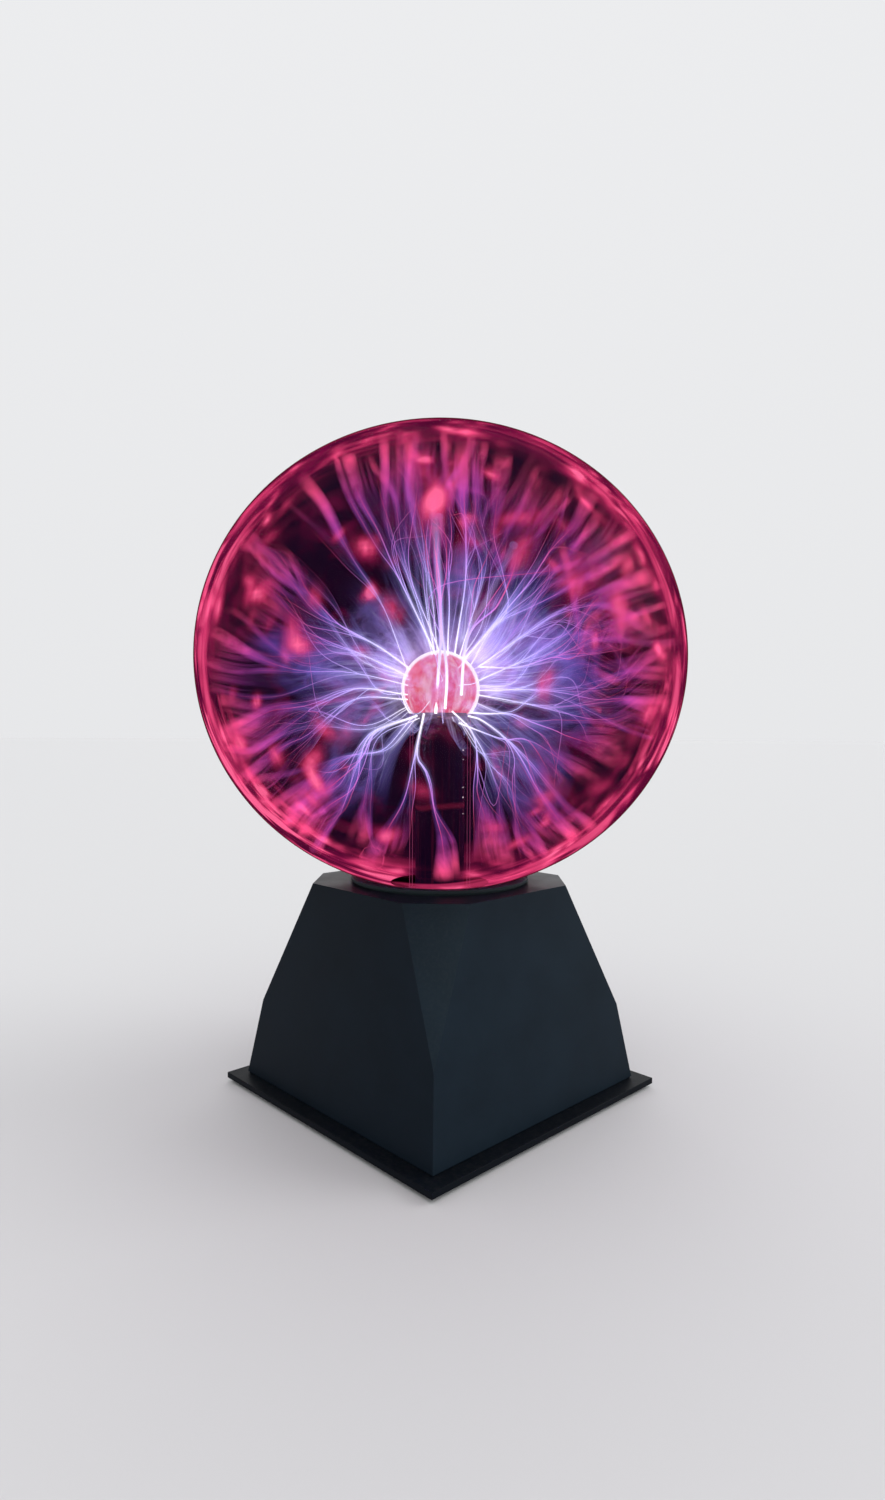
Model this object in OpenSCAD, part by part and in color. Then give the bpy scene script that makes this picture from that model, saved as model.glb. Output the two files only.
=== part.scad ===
// Plasma ball: a gas-filled glass globe on a pyramid base with cut corners, and the drive inside the base.
// Millimetres, +Z up. The origin is at the middle of the footprint, on the plane the feet stand on.
// The inlet and the mode switch are on the back, which faces +Y.

/* [Globe] */
// Width of the globe
globe_d = 203.2; // [200:0.2:206]
// Height of the globe as a share of its width
globe_squash = 0.95; // [0.94:0.01:0.97]
// How far the globe's lowest point dips below the top of the housing
globe_sink = 3.5; // [3:0.1:4]
// Thickness of the blown glass
glass_t = 1.8; // [1.5:0.1:2]
// Outer diameter of the globe's neck
neck_d = 42; // [40:1:44]
// How far the neck goes down below the top of the housing
neck_depth = 26; // [24:1:28]

/* [Electrode] */
// Outer diameter of the small bulb at the top of the stem
bulb_d = 33; // [31:0.5:35]
// How far the bulb's centre lies below the globe's centre
bulb_drop = 11.8; // [8:0.2:16]
// Outer diameter of the stem's glass tube
stem_d = 26; // [25:0.5:27]
// Wall of the stem and the bulb
stem_t = 1.2; // [1:0.1:1.4]
// Outer diameter of the dark insulating sleeve inside the stem
sleeve_d = 21; // [20:0.5:22]
// Diameter of the high-voltage lead
lead_d = 3; // [2.6:0.1:3.2]

/* [Base] */
// Width of the housing at its bottom
base_w = 117; // [116:0.5:120]
// Width of the housing at its top
top_w = 92; // [90:0.5:96]
// Height of the housing
body_h = 84.6; // [82:0.2:90]
// Length that each cut corner takes off the sides of the top
corner_cut = 18; // [15:0.5:20]
// Height above the flange at which the corner cuts start
corner_start = 31.6; // [28:0.2:36]
// Wall of the housing
wall = 2.4; // [2:0.1:2.6]
// Width of the square flange that closes the base
flange_w = 129.6; // [127:0.2:134]
// Thickness of the flange
flange_t = 2.4; // [2.4:0.1:3]
// Height of the rubber feet below the flange
foot_h = 1.6; // [1.2:0.1:2.4]
// Outer diameter of the collar ring round the globe's foot
collar_d = 75.6; // [75:0.2:78]

/* [Controls] */
// Travel of the three-position switch from end to end
switch_travel = 4; // [3:0.5:4]
// Bore of the low-voltage inlet
jack_bore = 6; // [5.8:0.1:6.2]
// Centre pin of the low-voltage inlet
jack_pin_d = 2.1; // [2:0.1:2.5]

/* [Hidden] */
$fn = 48;
facets = 36;

// Heights of the base
base_top = foot_h + flange_t;
body_top = base_top + body_h;
corner_z = base_top + corner_start;

// Globe
globe_rw = globe_d / 2;
globe_rh = globe_rw * globe_squash;
globe_z = body_top + globe_rh - globe_sink;
neck_r = neck_d / 2;
neck_z = body_top - neck_depth;

// Stem and electrode
bulb_r = bulb_d / 2;
bulb_z = globe_z - bulb_drop;
stem_r = stem_d / 2;
stem_bore = stem_r - stem_t;
flare_h = 9;
flare_top = neck_z + flare_h;
wool_r = bulb_r - stem_t - 0.1;
wool_z = bulb_z - 0.74 * wool_r;
sleeve_r = sleeve_d / 2;
sleeve_t = 2;
sleeve_top = wool_z - 0.5;
lead_r = lead_d / 2;
lead_end = sleeve_top - 1;
contact_r = 0.8;
plug_flange_r = 14.5;
plug_low = neck_z - 3;
plug_high = neck_z + 12;
tip_r = 1.8;
tip_at = 17;

// Collar and clamp
collar_r = collar_d / 2;
collar_h = 2;
collar_gap = 0.5;
collar_bore = collar_r - 3.4;
gasket_slack = 0.05;
clamp_t = 3;
clamp_r = 30;
clamp_drop = wall + 8;
clamp_z = body_top - clamp_drop - clamp_t;
clamp_screw_at = 35;
clamp_boss_r = 3.5;

// Fasteners
screw_r = 1.5;
pilot_r = 1.55;
screw_hole_r = 1.8;
head_r = 2.9;
head_h = 1.2;
head_sink = 0.2;
base_screw_at = base_w / 2 - 11.5;
base_boss_r = 4;
base_boss_h = 20;
board_screw_x = 37;
board_screw_y = [-33, 40];

// Feet and label
foot_r = 6;
foot_at = flange_w / 2 - 9.8;
foot_seat = 0.4;
label_size = [44, 26, 0.15];

// Control panel pocket in the back wall
panel_y = 50;
panel_t = 2;
panel_in = panel_y - panel_t;
pocket_w = 50;
pocket_z = [10, 28];
pocket_wall = 2;

// Circuit board
lead_pitch = 2.54;
board_x = 42;
board_y = [-38, 46];
board_t = 1.6;
board_z = base_top + 6;
deck = board_z + board_t;

// Inlet
jack_x = -14;
jack_z = deck + 6.4;
jack_size = [9, 14, 11];
jack_back = panel_in - 0.3 - jack_size[1];
jack_floor = 38.5;
jack_tail_r = jack_pin_d / 2 - 0.25;
jack_spring_end = 46.8;
nose_r = 3.9;

// Switch
switch_x = 13;
switch_z = deck + 5.4;
switch_size = [14, 6, 10];
switch_front = panel_in - 0.3;
switch_back = switch_front - switch_size[1];
shell_t = 0.5;
lever_w = 3;
lever_h = 2.4;
lever_slot = lever_w / 2 + switch_travel / 2 + 0.4;
lever_tip = panel_y + 2.4;
slider_x = switch_x - switch_travel / 2;
terminal_x = [-4.5, -1.5, 1.5, 4.5];

// Microphone
mic_x = -2;
mic_r = 4.85;
mic_sleeve_r = 5.8;
mic_z = deck + mic_sleeve_r;
mic_back = 41;
mic_front = 47.5;
mic_port_r = 1;

// Transformer: a ferrite frame with the secondary on its left leg and the primary on its right
core_at = [-10, -8];
core_size = [40, 10, 34];
core_leg = 9;
leg_x = (core_size[0] - core_leg) / 2;
coil_low = deck + core_leg + 0.3;
coil_h = core_size[2] - 2 * core_leg - 0.6;
coil_r = 14;
coil_outlet = 9.5;
bobbin_r = 9;
winding_r = 8;

// Power stage
sink_at = [27, -16];
sink_size = [26, 3, 28];
sink_back = sink_at[1] - sink_size[1];
sink_screw_z = deck + 24.5;
fin_l = 10;
tab_h = 6;
tab_t = 1.3;

// ---- helpers ----

// Radius of the globe's outside at a height
function globe_r(z, gap = 0) =
    (globe_rw + gap) * sqrt(1 - pow((z - globe_z) / (globe_rh + gap), 2));

// Points down an upright ellipse from its top to the lower height at which its radius is end_r
function ellipse_down(rw, rh, zc, end_r, n) =
    [for (i = [0:n]) let (a = 90 - i * (90 + acos(end_r / rw)) / n) [rw * cos(a), zc + rh * sin(a)]];

function reversed(list) = [for (i = [len(list) - 1:-1:0]) list[i]];

// A point turned by k quarter turns
function turned(p, k) =
    k == 0 ? p : k == 1 ? [-p[1], p[0]] : k == 2 ? [-p[0], -p[1]] : [p[1], -p[0]];

// Half the housing's width at a height
function body_half(z) = (base_w - (base_w - top_w) * (z - base_top) / body_h) / 2;

// Length cut off each corner at a height
function body_cut(z) = corner_cut * (z - corner_z) / (body_top - corner_z);

// The housing's outer form between two heights, with its walls moved in by inset
module body_form(z_low, z_high, inset) {
    cut_less = inset * (2 - sqrt(2));
    z_apex = corner_z + cut_less * (body_top - corner_z) / corner_cut;
    low = body_half(z_low) - inset;
    mid = body_half(z_apex) - inset;
    high = body_half(z_high) - inset;
    cut = body_cut(z_high) - cut_less;
    square_low = [for (k = [0:3]) concat(turned([low, low], k), z_low)];
    square_mid = [for (k = [0:3]) concat(turned([mid, mid], k), z_apex)];
    cut_ends = [[high, high - cut], [high - cut, high]];
    octagon = [for (k = [0:3], p = cut_ends) concat(turned(p, k), z_high)];
    sides = [for (k = [0:3]) let (n = (k + 1) % 4) [k, 4 + k, 9 + 2 * k, 8 + 2 * n, 4 + n, n]];
    corners = [for (k = [0:3]) [4 + k, 8 + 2 * k, 9 + 2 * k]];
    polyhedron(concat(square_low, square_mid, octagon),
        concat([[0, 1, 2, 3]], sides, corners, [[15, 14, 13, 12, 11, 10, 9, 8]]));
}

// Catmull-Rom curve through points, with n steps between each pair
function curve_at(a, b, c, d, t) =
    0.5 * (2 * b + (c - a) * t + (2 * a - 5 * b + 4 * c - d) * t * t + (3 * b - a - 3 * c + d) * t * t * t);
function curve(points, n) = let (last = len(points) - 1) concat(
    [for (i = [0:last - 1], j = [0:n - 1])
        curve_at(points[max(i - 1, 0)], points[i], points[i + 1], points[min(i + 2, last)], j / n)],
    [points[last]]);

// A round lead along a path whose direction is never close to Y
module lead(path, r, sides = 10) {
    last = len(path) - 1;
    ring_points = [for (i = [0:last])
        let (way = path[min(i + 1, last)] - path[max(i - 1, 0)], t = way / norm(way),
            side = cross(t, [0, 1, 0]), u = side / norm(side), v = cross(t, u))
        for (j = [0:sides - 1]) path[i] + r * (cos(360 * j / sides) * u + sin(360 * j / sides) * v)];
    skin = [for (i = [0:last - 1], j = [0:sides - 1]) let (n = (j + 1) % sides)
        [i * sides + j, (i + 1) * sides + j, (i + 1) * sides + n, i * sides + n]];
    start = [for (j = [0:sides - 1]) j];
    end = [for (j = [sides - 1:-1:0]) last * sides + j];
    polyhedron(ring_points, concat([start], skin, [end]), convexity = 6);
}

// A box from its lowest to its highest corner
module block(low, high) {
    translate(low) cube(high - low);
}

// A cylinder along +Y
module rod_y(x, y0, y1, z, r) {
    translate([x, y0, z]) rotate([-90, 0, 0]) cylinder(r = r, h = y1 - y0);
}

module at_corners(x, y) {
    for (sx = [-1, 1], sy = [-1, 1]) translate([sx * x, sy * y, 0]) children();
}

module at_base_screws() {
    at_corners(base_screw_at, base_screw_at) children();
}

module at_board_screws() {
    for (sx = [-1, 1], y = board_screw_y) translate([sx * board_screw_x, y, 0]) children();
}

module at_clamp_screws() {
    for (k = [0:2]) rotate([0, 0, 90 + 120 * k]) translate([clamp_screw_at, 0, 0]) children();
}

// A pan-head screw whose head's seat is at z = 0, with the shank up +Z and a cross recess from below
module screw(length) {
    difference() {
        union() {
            translate([0, 0, -head_h]) cylinder(r = head_r, h = head_h);
            cylinder(r = screw_r, h = length);
        }
        for (a = [0, 90]) rotate([0, 0, a]) block([-1.6, -0.3, -head_h - 0.1], [1.6, 0.3, -0.4]);
    }
}

// ---- globe and electrode ----

module globe_glass() {
    outside = ellipse_down(globe_rw, globe_rh, globe_z, neck_r, facets);
    inside = ellipse_down(globe_rw - glass_t, globe_rh - glass_t, globe_z, neck_r - glass_t, facets);
    color([0.9, 0.35, 0.6, 0.35])
        rotate_extrude()
            polygon(concat(outside, [[neck_r, neck_z], [neck_r - glass_t, neck_z]], reversed(inside)));
}

module stem_glass() {
    outside = ellipse_down(bulb_r, bulb_r, bulb_z, stem_r, 20);
    inside = ellipse_down(bulb_r - stem_t, bulb_r - stem_t, bulb_z, stem_bore, 20);
    rim = neck_r - glass_t;
    color([0.95, 0.75, 0.85, 0.5])
        rotate_extrude() polygon(concat(outside,
            [[stem_r, flare_top], [rim, neck_z], [neck_r, neck_z], [neck_r, neck_z - glass_t],
             [rim, neck_z - glass_t], [stem_bore, flare_top - glass_t]],
            reversed(inside)));
}

// The nipple ends against the inner side of the stem's flare
module fill_tip() {
    rim = neck_r - glass_t;
    color([0.8, 0.85, 0.9, 0.5]) difference() {
        translate([0, -tip_at, 0]) union() {
            translate([0, 0, neck_z - 4]) cylinder(r = tip_r, h = 9);
            translate([0, 0, neck_z - 4]) sphere(r = tip_r);
        }
        rotate_extrude() polygon([[stem_bore, flare_top - glass_t], [rim, neck_z - glass_t],
            [2 * neck_r, neck_z - glass_t], [2 * neck_r, flare_top + 5], [stem_bore, flare_top + 5]]);
    }
}

module electrode_wool() {
    a_low = asin((wool_z - bulb_z) / wool_r);
    steps = 20;
    arc_points = [for (i = [0:steps]) let (a = 90 + i * (a_low - 90) / steps)
        [wool_r * cos(a), bulb_z + wool_r * sin(a)]];
    hole_r = contact_r + 0.1;
    color([0.75, 0.3, 0.35])
        rotate_extrude() polygon(concat(arc_points, [[hole_r, wool_z], [hole_r, bulb_z], [0, bulb_z]]));
}

module electrode_contact() {
    color("gold") union() {
        translate([0, 0, lead_end]) cylinder(r = lead_r, h = 1.4);
        translate([0, 0, lead_end]) cylinder(r = contact_r, h = bulb_z - 0.1 - lead_end);
    }
}

module stem_sleeve() {
    dome_z = sleeve_top - sleeve_r;
    hole_r = lead_r + 0.2;
    bore_r = sleeve_r - sleeve_t;
    a_out = acos(hole_r / sleeve_r);
    a_in = acos(hole_r / bore_r);
    steps = 12;
    outside = [for (i = [0:steps]) let (a = a_out * (1 - i / steps))
        [sleeve_r * cos(a), dome_z + sleeve_r * sin(a)]];
    inside = [for (i = [0:steps]) let (a = a_in * i / steps) [bore_r * cos(a), dome_z + bore_r * sin(a)]];
    color([0.05, 0.05, 0.1])
        rotate_extrude() polygon(concat(outside, [[sleeve_r, plug_high], [bore_r, plug_high]], inside));
}

module stem_plug() {
    bore = lead_r + 0.1;
    body = stem_bore - 0.1;
    step_z = neck_z + 2.5;
    color([0.75, 0.75, 0.72])
        rotate_extrude() polygon([[bore, plug_low], [plug_flange_r, plug_low], [plug_flange_r, step_z],
            [body, step_z], [body, plug_high], [bore, plug_high]]);
}

// Silicone lead from the top of the secondary, over the core and up the middle of the stem
module high_voltage_lead() {
    start = [core_at[0] - leg_x, core_at[1] + coil_outlet, coil_low + coil_h];
    bend = [start, start + [0, 0, 5], start + [2, 0, 10.5], start + [8.5, -0.5, 15],
        [-8, 0.5, start[2] + 17], [-2, 0, start[2] + 19], [0, 0, plug_low - 1], [0, 0, plug_low + 4]];
    color("firebrick") lead(concat(curve(bend, 5), [[0, 0, lead_end]]), lead_r);
}

// ---- collar, gasket and clamp ----

module collar_ring() {
    edge = 0.3;
    step_r = collar_r - 1;
    top = body_top + collar_h;
    color([0.17, 0.21, 0.22])
        rotate_extrude($fn = 96)
            polygon([[collar_bore, body_top], [step_r, body_top], [step_r, body_top + collar_gap],
                [collar_r - edge, body_top + collar_gap], [collar_r, body_top + collar_gap + edge],
                [collar_r, top - edge], [collar_r - edge, top], [collar_bore, top]]);
}

module globe_gasket() {
    top = body_top + collar_h - 0.2;
    outer = collar_bore - gasket_slack;
    seat = [for (i = [0:6]) let (z = body_top + (top - body_top) * i / 6) [globe_r(z, gasket_slack), z]];
    color([0.08, 0.08, 0.08])
        rotate_extrude()
            polygon(concat([[outer, body_top], [outer, top]], reversed(seat)));
}

module clamp_ring() {
    color([0.2, 0.2, 0.22]) difference() {
        union() {
            translate([0, 0, clamp_z]) cylinder(r = clamp_r, h = clamp_t);
            at_clamp_screws() translate([0, 0, clamp_z]) cylinder(r = 4.5, h = clamp_t);
            at_clamp_screws() block([-8, -4.5, clamp_z], [0, 4.5, clamp_z + clamp_t]);
        }
        translate([0, 0, clamp_z - 1]) cylinder(r = neck_r + 0.3, h = clamp_t + 2);
        at_clamp_screws() translate([0, 0, clamp_z - 1]) cylinder(r = screw_hole_r, h = clamp_t + 2);
    }
}

module clamp_screws() {
    color("silver") at_clamp_screws() translate([0, 0, clamp_z]) screw(8);
}

module neck_adhesive() {
    z = clamp_z + clamp_t;
    color([0.9, 0.9, 0.88])
        rotate_extrude() polygon([[neck_r + 0.05, z], [neck_r + 4, z], [neck_r + 0.05, z + 4]]);
}

// ---- base ----

module pocket_box(grow) {
    block([-pocket_w / 2 - grow, panel_y - (grow > 0 ? panel_t : 0), pocket_z[0] - grow],
        [pocket_w / 2 + grow, base_w / 2 + 1, pocket_z[1] + grow]);
}

module housing() {
    reveal = 0.6;
    color([0.1, 0.12, 0.14]) difference() {
        union() {
            difference() {
                body_form(base_top, body_top, 0);
                body_form(base_top - 1, body_top - wall, wall);
            }
            intersection() {
                body_form(base_top, body_top, 0);
                pocket_box(pocket_wall);
            }
            // Screw bosses, tied to the walls by two ribs each
            intersection() {
                body_form(base_top, body_top, wall / 2);
                at_base_screws() translate([0, 0, base_top]) cylinder(r = base_boss_r, h = base_boss_h);
            }
            intersection() {
                body_form(base_top, body_top, wall / 2);
                for (k = [0:3]) rotate([0, 0, 90 * k]) union() {
                    block([base_screw_at, base_screw_at - 1, base_top],
                        [base_w / 2, base_screw_at + 1, base_top + base_boss_h]);
                    block([base_screw_at - 1, base_screw_at, base_top],
                        [base_screw_at + 1, base_w / 2, base_top + base_boss_h]);
                }
            }
            at_clamp_screws() translate([0, 0, body_top - clamp_drop])
                cylinder(r = clamp_boss_r, h = clamp_drop - 1);
        }
        // A small step round the bottom edge leaves a shadow line above the flange
        difference() {
            block([-base_w, -base_w, base_top - 1], [base_w, base_w, base_top + reveal]);
            block([reveal - base_w / 2, reveal - base_w / 2, base_top - 2],
                [base_w / 2 - reveal, base_w / 2 - reveal, base_top + 1]);
        }
        pocket_box(0);
        translate([0, 0, body_top - wall - 1]) cylinder(r = globe_r(body_top, 1), h = wall + 2);
        at_base_screws() translate([0, 0, base_top - 1]) cylinder(r = pilot_r, h = 13);
        at_clamp_screws() translate([0, 0, body_top - clamp_drop - 1]) cylinder(r = pilot_r, h = 7);
        rod_y(jack_x, panel_in - 1, panel_y + 1, jack_z, nose_r + 0.2);
        rod_y(mic_x, panel_in - 1, panel_y + 1, mic_z, mic_port_r);
        block([switch_x - lever_slot, panel_in - 1, switch_z - lever_h / 2 - 0.4],
            [switch_x + lever_slot, panel_y + 1, switch_z + lever_h / 2 + 0.4]);
    }
}

module base_plate() {
    half = flange_w / 2;
    lip = base_w / 2 - wall - 0.5;
    lip_l = 34;
    slot_l = 32;
    slot_w = 2.2;
    slot_y = 20;
    slot_pitch = 5;
    color([0.07, 0.09, 0.11]) difference() {
        union() {
            block([-half, -half, foot_h], [half, half, base_top]);
            // Lips that locate the housing, and stand-offs for the board
            for (k = [0:3]) rotate([0, 0, 90 * k])
                block([lip - 1.6, -lip_l, foot_h + 1], [lip, lip_l, base_top + 2]);
            at_board_screws() translate([0, 0, foot_h + 1]) cylinder(r = 3.2, h = board_z - foot_h - 1);
        }
        at_base_screws() translate([0, 0, foot_h - 1]) cylinder(r = screw_hole_r, h = flange_t + 2);
        at_base_screws() translate([0, 0, foot_h - 1])
            cylinder(r = head_r + 0.4, h = 1 + head_h + head_sink);
        at_corners(foot_at, foot_at) translate([0, 0, foot_h - 1])
            cylinder(r = foot_r + 0.1, h = 1 + foot_seat);
        at_board_screws() translate([0, 0, base_top]) cylinder(r = pilot_r, h = 10);
        // Cooling slots on both sides of the label
        for (sy = [-1, 1], i = [0:4]) translate([0, sy * (slot_y + slot_pitch * i), 0])
            block([-slot_l / 2, -slot_w / 2, foot_h - 1], [slot_l / 2, slot_w / 2, base_top + 1]);
    }
}

module base_screws() {
    color("silver") at_base_screws() translate([0, 0, foot_h + head_h + head_sink]) screw(12);
}

module feet() {
    edge = 0.5;
    top = foot_h + foot_seat;
    color([0.05, 0.05, 0.05]) at_corners(foot_at, foot_at)
        rotate_extrude() polygon([[0, 0], [foot_r - edge, 0], [foot_r, edge], [foot_r, top], [0, top]]);
}

module rating_label() {
    color([0.75, 0.75, 0.75])
        translate([0, 0, foot_h - label_size[2] / 2]) cube(label_size, center = true);
}

// ---- circuit ----

module circuit_board() {
    color([0.15, 0.35, 0.2]) difference() {
        block([-board_x, board_y[0], board_z], [board_x, board_y[1], deck]);
        at_board_screws() translate([0, 0, board_z - 1]) cylinder(r = screw_hole_r, h = board_t + 2);
    }
}

module board_screws() {
    color("silver") at_board_screws() translate([0, 0, deck]) rotate([180, 0, 0]) screw(6);
}

module transformer_core() {
    low = [core_at[0] - core_size[0] / 2, core_at[1] - core_size[1] / 2, deck];
    color([0.22, 0.22, 0.24]) difference() {
        block(low, low + core_size);
        block([low[0] + core_leg, low[1] - 1, deck + core_leg],
            [low[0] + core_size[0] - core_leg, low[1] + core_size[1] + 1, deck + core_size[2] - core_leg]);
    }
}

// A winding former round one leg, with a square passage for the leg
module around_leg(side) {
    gap = 0.3;
    translate([core_at[0] + side * leg_x, core_at[1], coil_low]) difference() {
        children();
        block([-core_leg / 2 - gap, -core_size[1] / 2 - gap, -1],
            [core_leg / 2 + gap, core_size[1] / 2 + gap, coil_h + 1]);
    }
}

module high_voltage_coil() {
    color([0.1, 0.1, 0.1]) around_leg(-1) rotate_extrude()
        polygon([[0, 0], [coil_r, 0], [coil_r, 1.5], [coil_r - 1, 1.5], [coil_r - 1, coil_h - 1.5],
            [coil_r, coil_h - 1.5], [coil_r, coil_h], [0, coil_h]]);
}

module primary_bobbin() {
    core_r = winding_r - 1;
    color([0.9, 0.9, 0.85]) around_leg(1) rotate_extrude()
        polygon([[0, 0], [bobbin_r, 0], [bobbin_r, 1], [core_r, 1], [core_r, coil_h - 1],
            [bobbin_r, coil_h - 1], [bobbin_r, coil_h], [0, coil_h]]);
}

module primary_winding() {
    turn_r = 0.4;
    turns = floor((coil_h - 2.4) / (2 * turn_r));
    seat_r = winding_r - 0.95;
    grooves = [for (i = [0:turns - 1], a = [-60:60:60])
        [seat_r + turn_r * (1 + cos(a)), turn_r * (1 + 2 * i + sin(a))]];
    color([0.72, 0.4, 0.2]) translate([core_at[0] + leg_x, core_at[1], coil_low + 1.2])
        rotate_extrude() polygon(concat([[seat_r, 0]], grooves, [[seat_r, turns * 2 * turn_r]]));
}

module heat_sink() {
    x0 = sink_at[0] - sink_size[0] / 2;
    fins = 6;
    fin_t = 1.5;
    pitch = (sink_size[0] - fin_t) / (fins - 1);
    color([0.75, 0.76, 0.78]) difference() {
        union() {
            block([x0, sink_back, deck], [x0 + sink_size[0], sink_at[1], deck + sink_size[2]]);
            for (i = [0:fins - 1]) translate([x0 + pitch * i, sink_back, deck])
                block([0, -fin_l, 0], [fin_t, 0.5, sink_size[2]]);
        }
        rod_y(sink_at[0], sink_back - 1, sink_at[1] + 1, sink_screw_z, pilot_r);
    }
}

module power_transistor() {
    z = deck + 6.5;
    front = sink_at[1];
    color([0.12, 0.12, 0.13]) difference() {
        union() {
            block([sink_at[0] - 5, front, z], [sink_at[0] + 5, front + 4.4, z + 15]);
            block([sink_at[0] - 5, front, z + 15], [sink_at[0] + 5, front + tab_t, z + 15 + tab_h]);
            for (i = [-1:1]) translate([sink_at[0] + lead_pitch * i, front, 0])
                block([-0.4, 2.2, deck], [0.4, 2.8, z]);
        }
        rod_y(sink_at[0], front - 1, front + tab_t + 1, sink_screw_z, screw_hole_r);
    }
}

module transistor_screw() {
    color("silver") translate([sink_at[0], sink_at[1] + tab_t, sink_screw_z]) rotate([90, 0, 0]) screw(4);
}

// One can: [x, y, radius, height]
module can(c) {
    r = c[2];
    h = c[3];
    translate([c[0], c[1], deck]) rotate_extrude()
        polygon([[0, 0], [r - 0.5, 0], [r, 0.6], [r, 1.6], [r - 0.4, 2.2], [r, 2.8],
            [r, h - 0.5], [r - 0.5, h], [r - 1, h], [r - 1.3, h - 0.3], [0, h - 0.3]]);
}

module electrolytic_capacitors() {
    color([0.1, 0.15, 0.3]) for (c = [[30, 6, 6.3, 20], [16, 19, 5, 16], [33, 22, 4, 12]]) can(c);
}

module film_capacitors() {
    // Each box: its middle on the board, then its size
    boxes = [[[-33, 22], [5, 13, 11]], [[4, -30], [13, 6, 11]], [[-22, 30], [9, 4, 8]]];
    color([0.7, 0.3, 0.12]) for (b = boxes)
        translate([b[0][0], b[0][1], deck + b[1][2] / 2]) cube(b[1], center = true);
}

// An axial part along X: a body between two bent wires
module axial(x, y, r, body_l) {
    z = deck + r + 0.6;
    wire = 0.3;
    reach = body_l / 2 + 2;
    translate([x, y, 0]) union() {
        translate([-body_l / 2, 0, z]) rotate([0, 90, 0]) cylinder(r = r, h = body_l);
        translate([-reach, 0, z]) rotate([0, 90, 0]) cylinder(r = wire, h = 2 * reach, $fn = 16);
        for (s = [-1, 1]) translate([s * reach, 0, deck]) cylinder(r = wire, h = z + wire - deck, $fn = 16);
    }
}

module resistors() {
    color([0.78, 0.65, 0.45]) union() {
        for (i = [0:3]) axial(-28, -36 + 4 * i, 1.2, 6.3);
        for (i = [0:2]) axial(-20, 12 + 4 * i, 1.2, 6.3);
        axial(-14, -32, 2.2, 11);
    }
}

module diodes() {
    color([0.15, 0.15, 0.15]) for (i = [0:1]) axial(24, 31 + 5 * i, 1.35, 5.2);
}

module control_chip() {
    x = 0;
    y = 18;
    color([0.08, 0.08, 0.08]) union() {
        difference() {
            block([x - 4.8, y - 3.2, deck + 0.6], [x + 4.8, y + 3.2, deck + 4]);
            translate([x - 4.8, y, deck + 3.6]) cylinder(r = 0.9, h = 1);
        }
        for (i = [-1.5:1.5], s = [-1, 1]) translate([x + lead_pitch * i, y + s * 3.6, deck])
            block([-0.35, -0.45, 0], [0.35, 0.45, 2.4]);
    }
}

// ---- microphone ----

module microphone() {
    color("silver") difference() {
        rod_y(mic_x, mic_back, mic_front, mic_z, mic_r);
        rod_y(mic_x, mic_front - 0.5, mic_front + 1, mic_z, mic_r - 1.2);
    }
}

module microphone_sleeve() {
    color([0.12, 0.12, 0.12]) difference() {
        rod_y(mic_x, mic_back - 0.4, panel_in - 0.1, mic_z, mic_sleeve_r);
        rod_y(mic_x, mic_back - 1, panel_in + 1, mic_z, mic_r + 0.05);
    }
}

module microphone_leads() {
    color("silver") for (s = [-1, 1]) union() {
        rod_y(mic_x + s * 1.3, mic_back - 1.6, mic_back, mic_z - 1, 0.3);
        translate([mic_x + s * 1.3, mic_back - 1.4, deck]) cylinder(r = 0.3, h = mic_z - 1 - deck);
    }
}

// ---- inlet ----

module jack_body() {
    wall_z = jack_z - jack_bore / 2;
    color([0.06, 0.06, 0.06]) difference() {
        union() {
            translate([jack_x - jack_size[0] / 2, jack_back, deck]) cube(jack_size);
            rod_y(jack_x, jack_back + jack_size[1] - 1, panel_y, jack_z, nose_r);
        }
        rod_y(jack_x, jack_floor, panel_y + 1, jack_z, jack_bore / 2);
        rod_y(jack_x, jack_back - 1, jack_floor + 1, jack_z, jack_tail_r + 0.05);
        // Channel for the spring and its leg
        block([jack_x - 1.2, jack_floor - 1.7, wall_z - 0.8],
            [jack_x + 1.2, jack_spring_end + 0.2, wall_z + 0.4]);
        block([jack_x - 1.2, jack_floor - 1.7, deck - 1], [jack_x + 1.2, jack_floor, wall_z]);
    }
}

module jack_pin() {
    color("silver") union() {
        rod_y(jack_x, jack_back - 0.5, jack_floor, jack_z, jack_tail_r);
        rod_y(jack_x, jack_floor, panel_y - 0.5, jack_z, jack_pin_d / 2);
        block([jack_x - 1.2, jack_back - 1.3, deck], [jack_x + 1.2, jack_back - 0.5, jack_z + 1.2]);
    }
}

module jack_spring() {
    z = jack_z - jack_bore / 2 - 0.4;
    color("gold") union() {
        block([jack_x - 1, jack_floor - 1.5, z - 0.3], [jack_x + 1, jack_spring_end, z]);
        block([jack_x - 1, jack_floor - 1.5, deck], [jack_x + 1, jack_floor - 1.1, z]);
    }
}

// ---- mode switch ----

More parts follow.
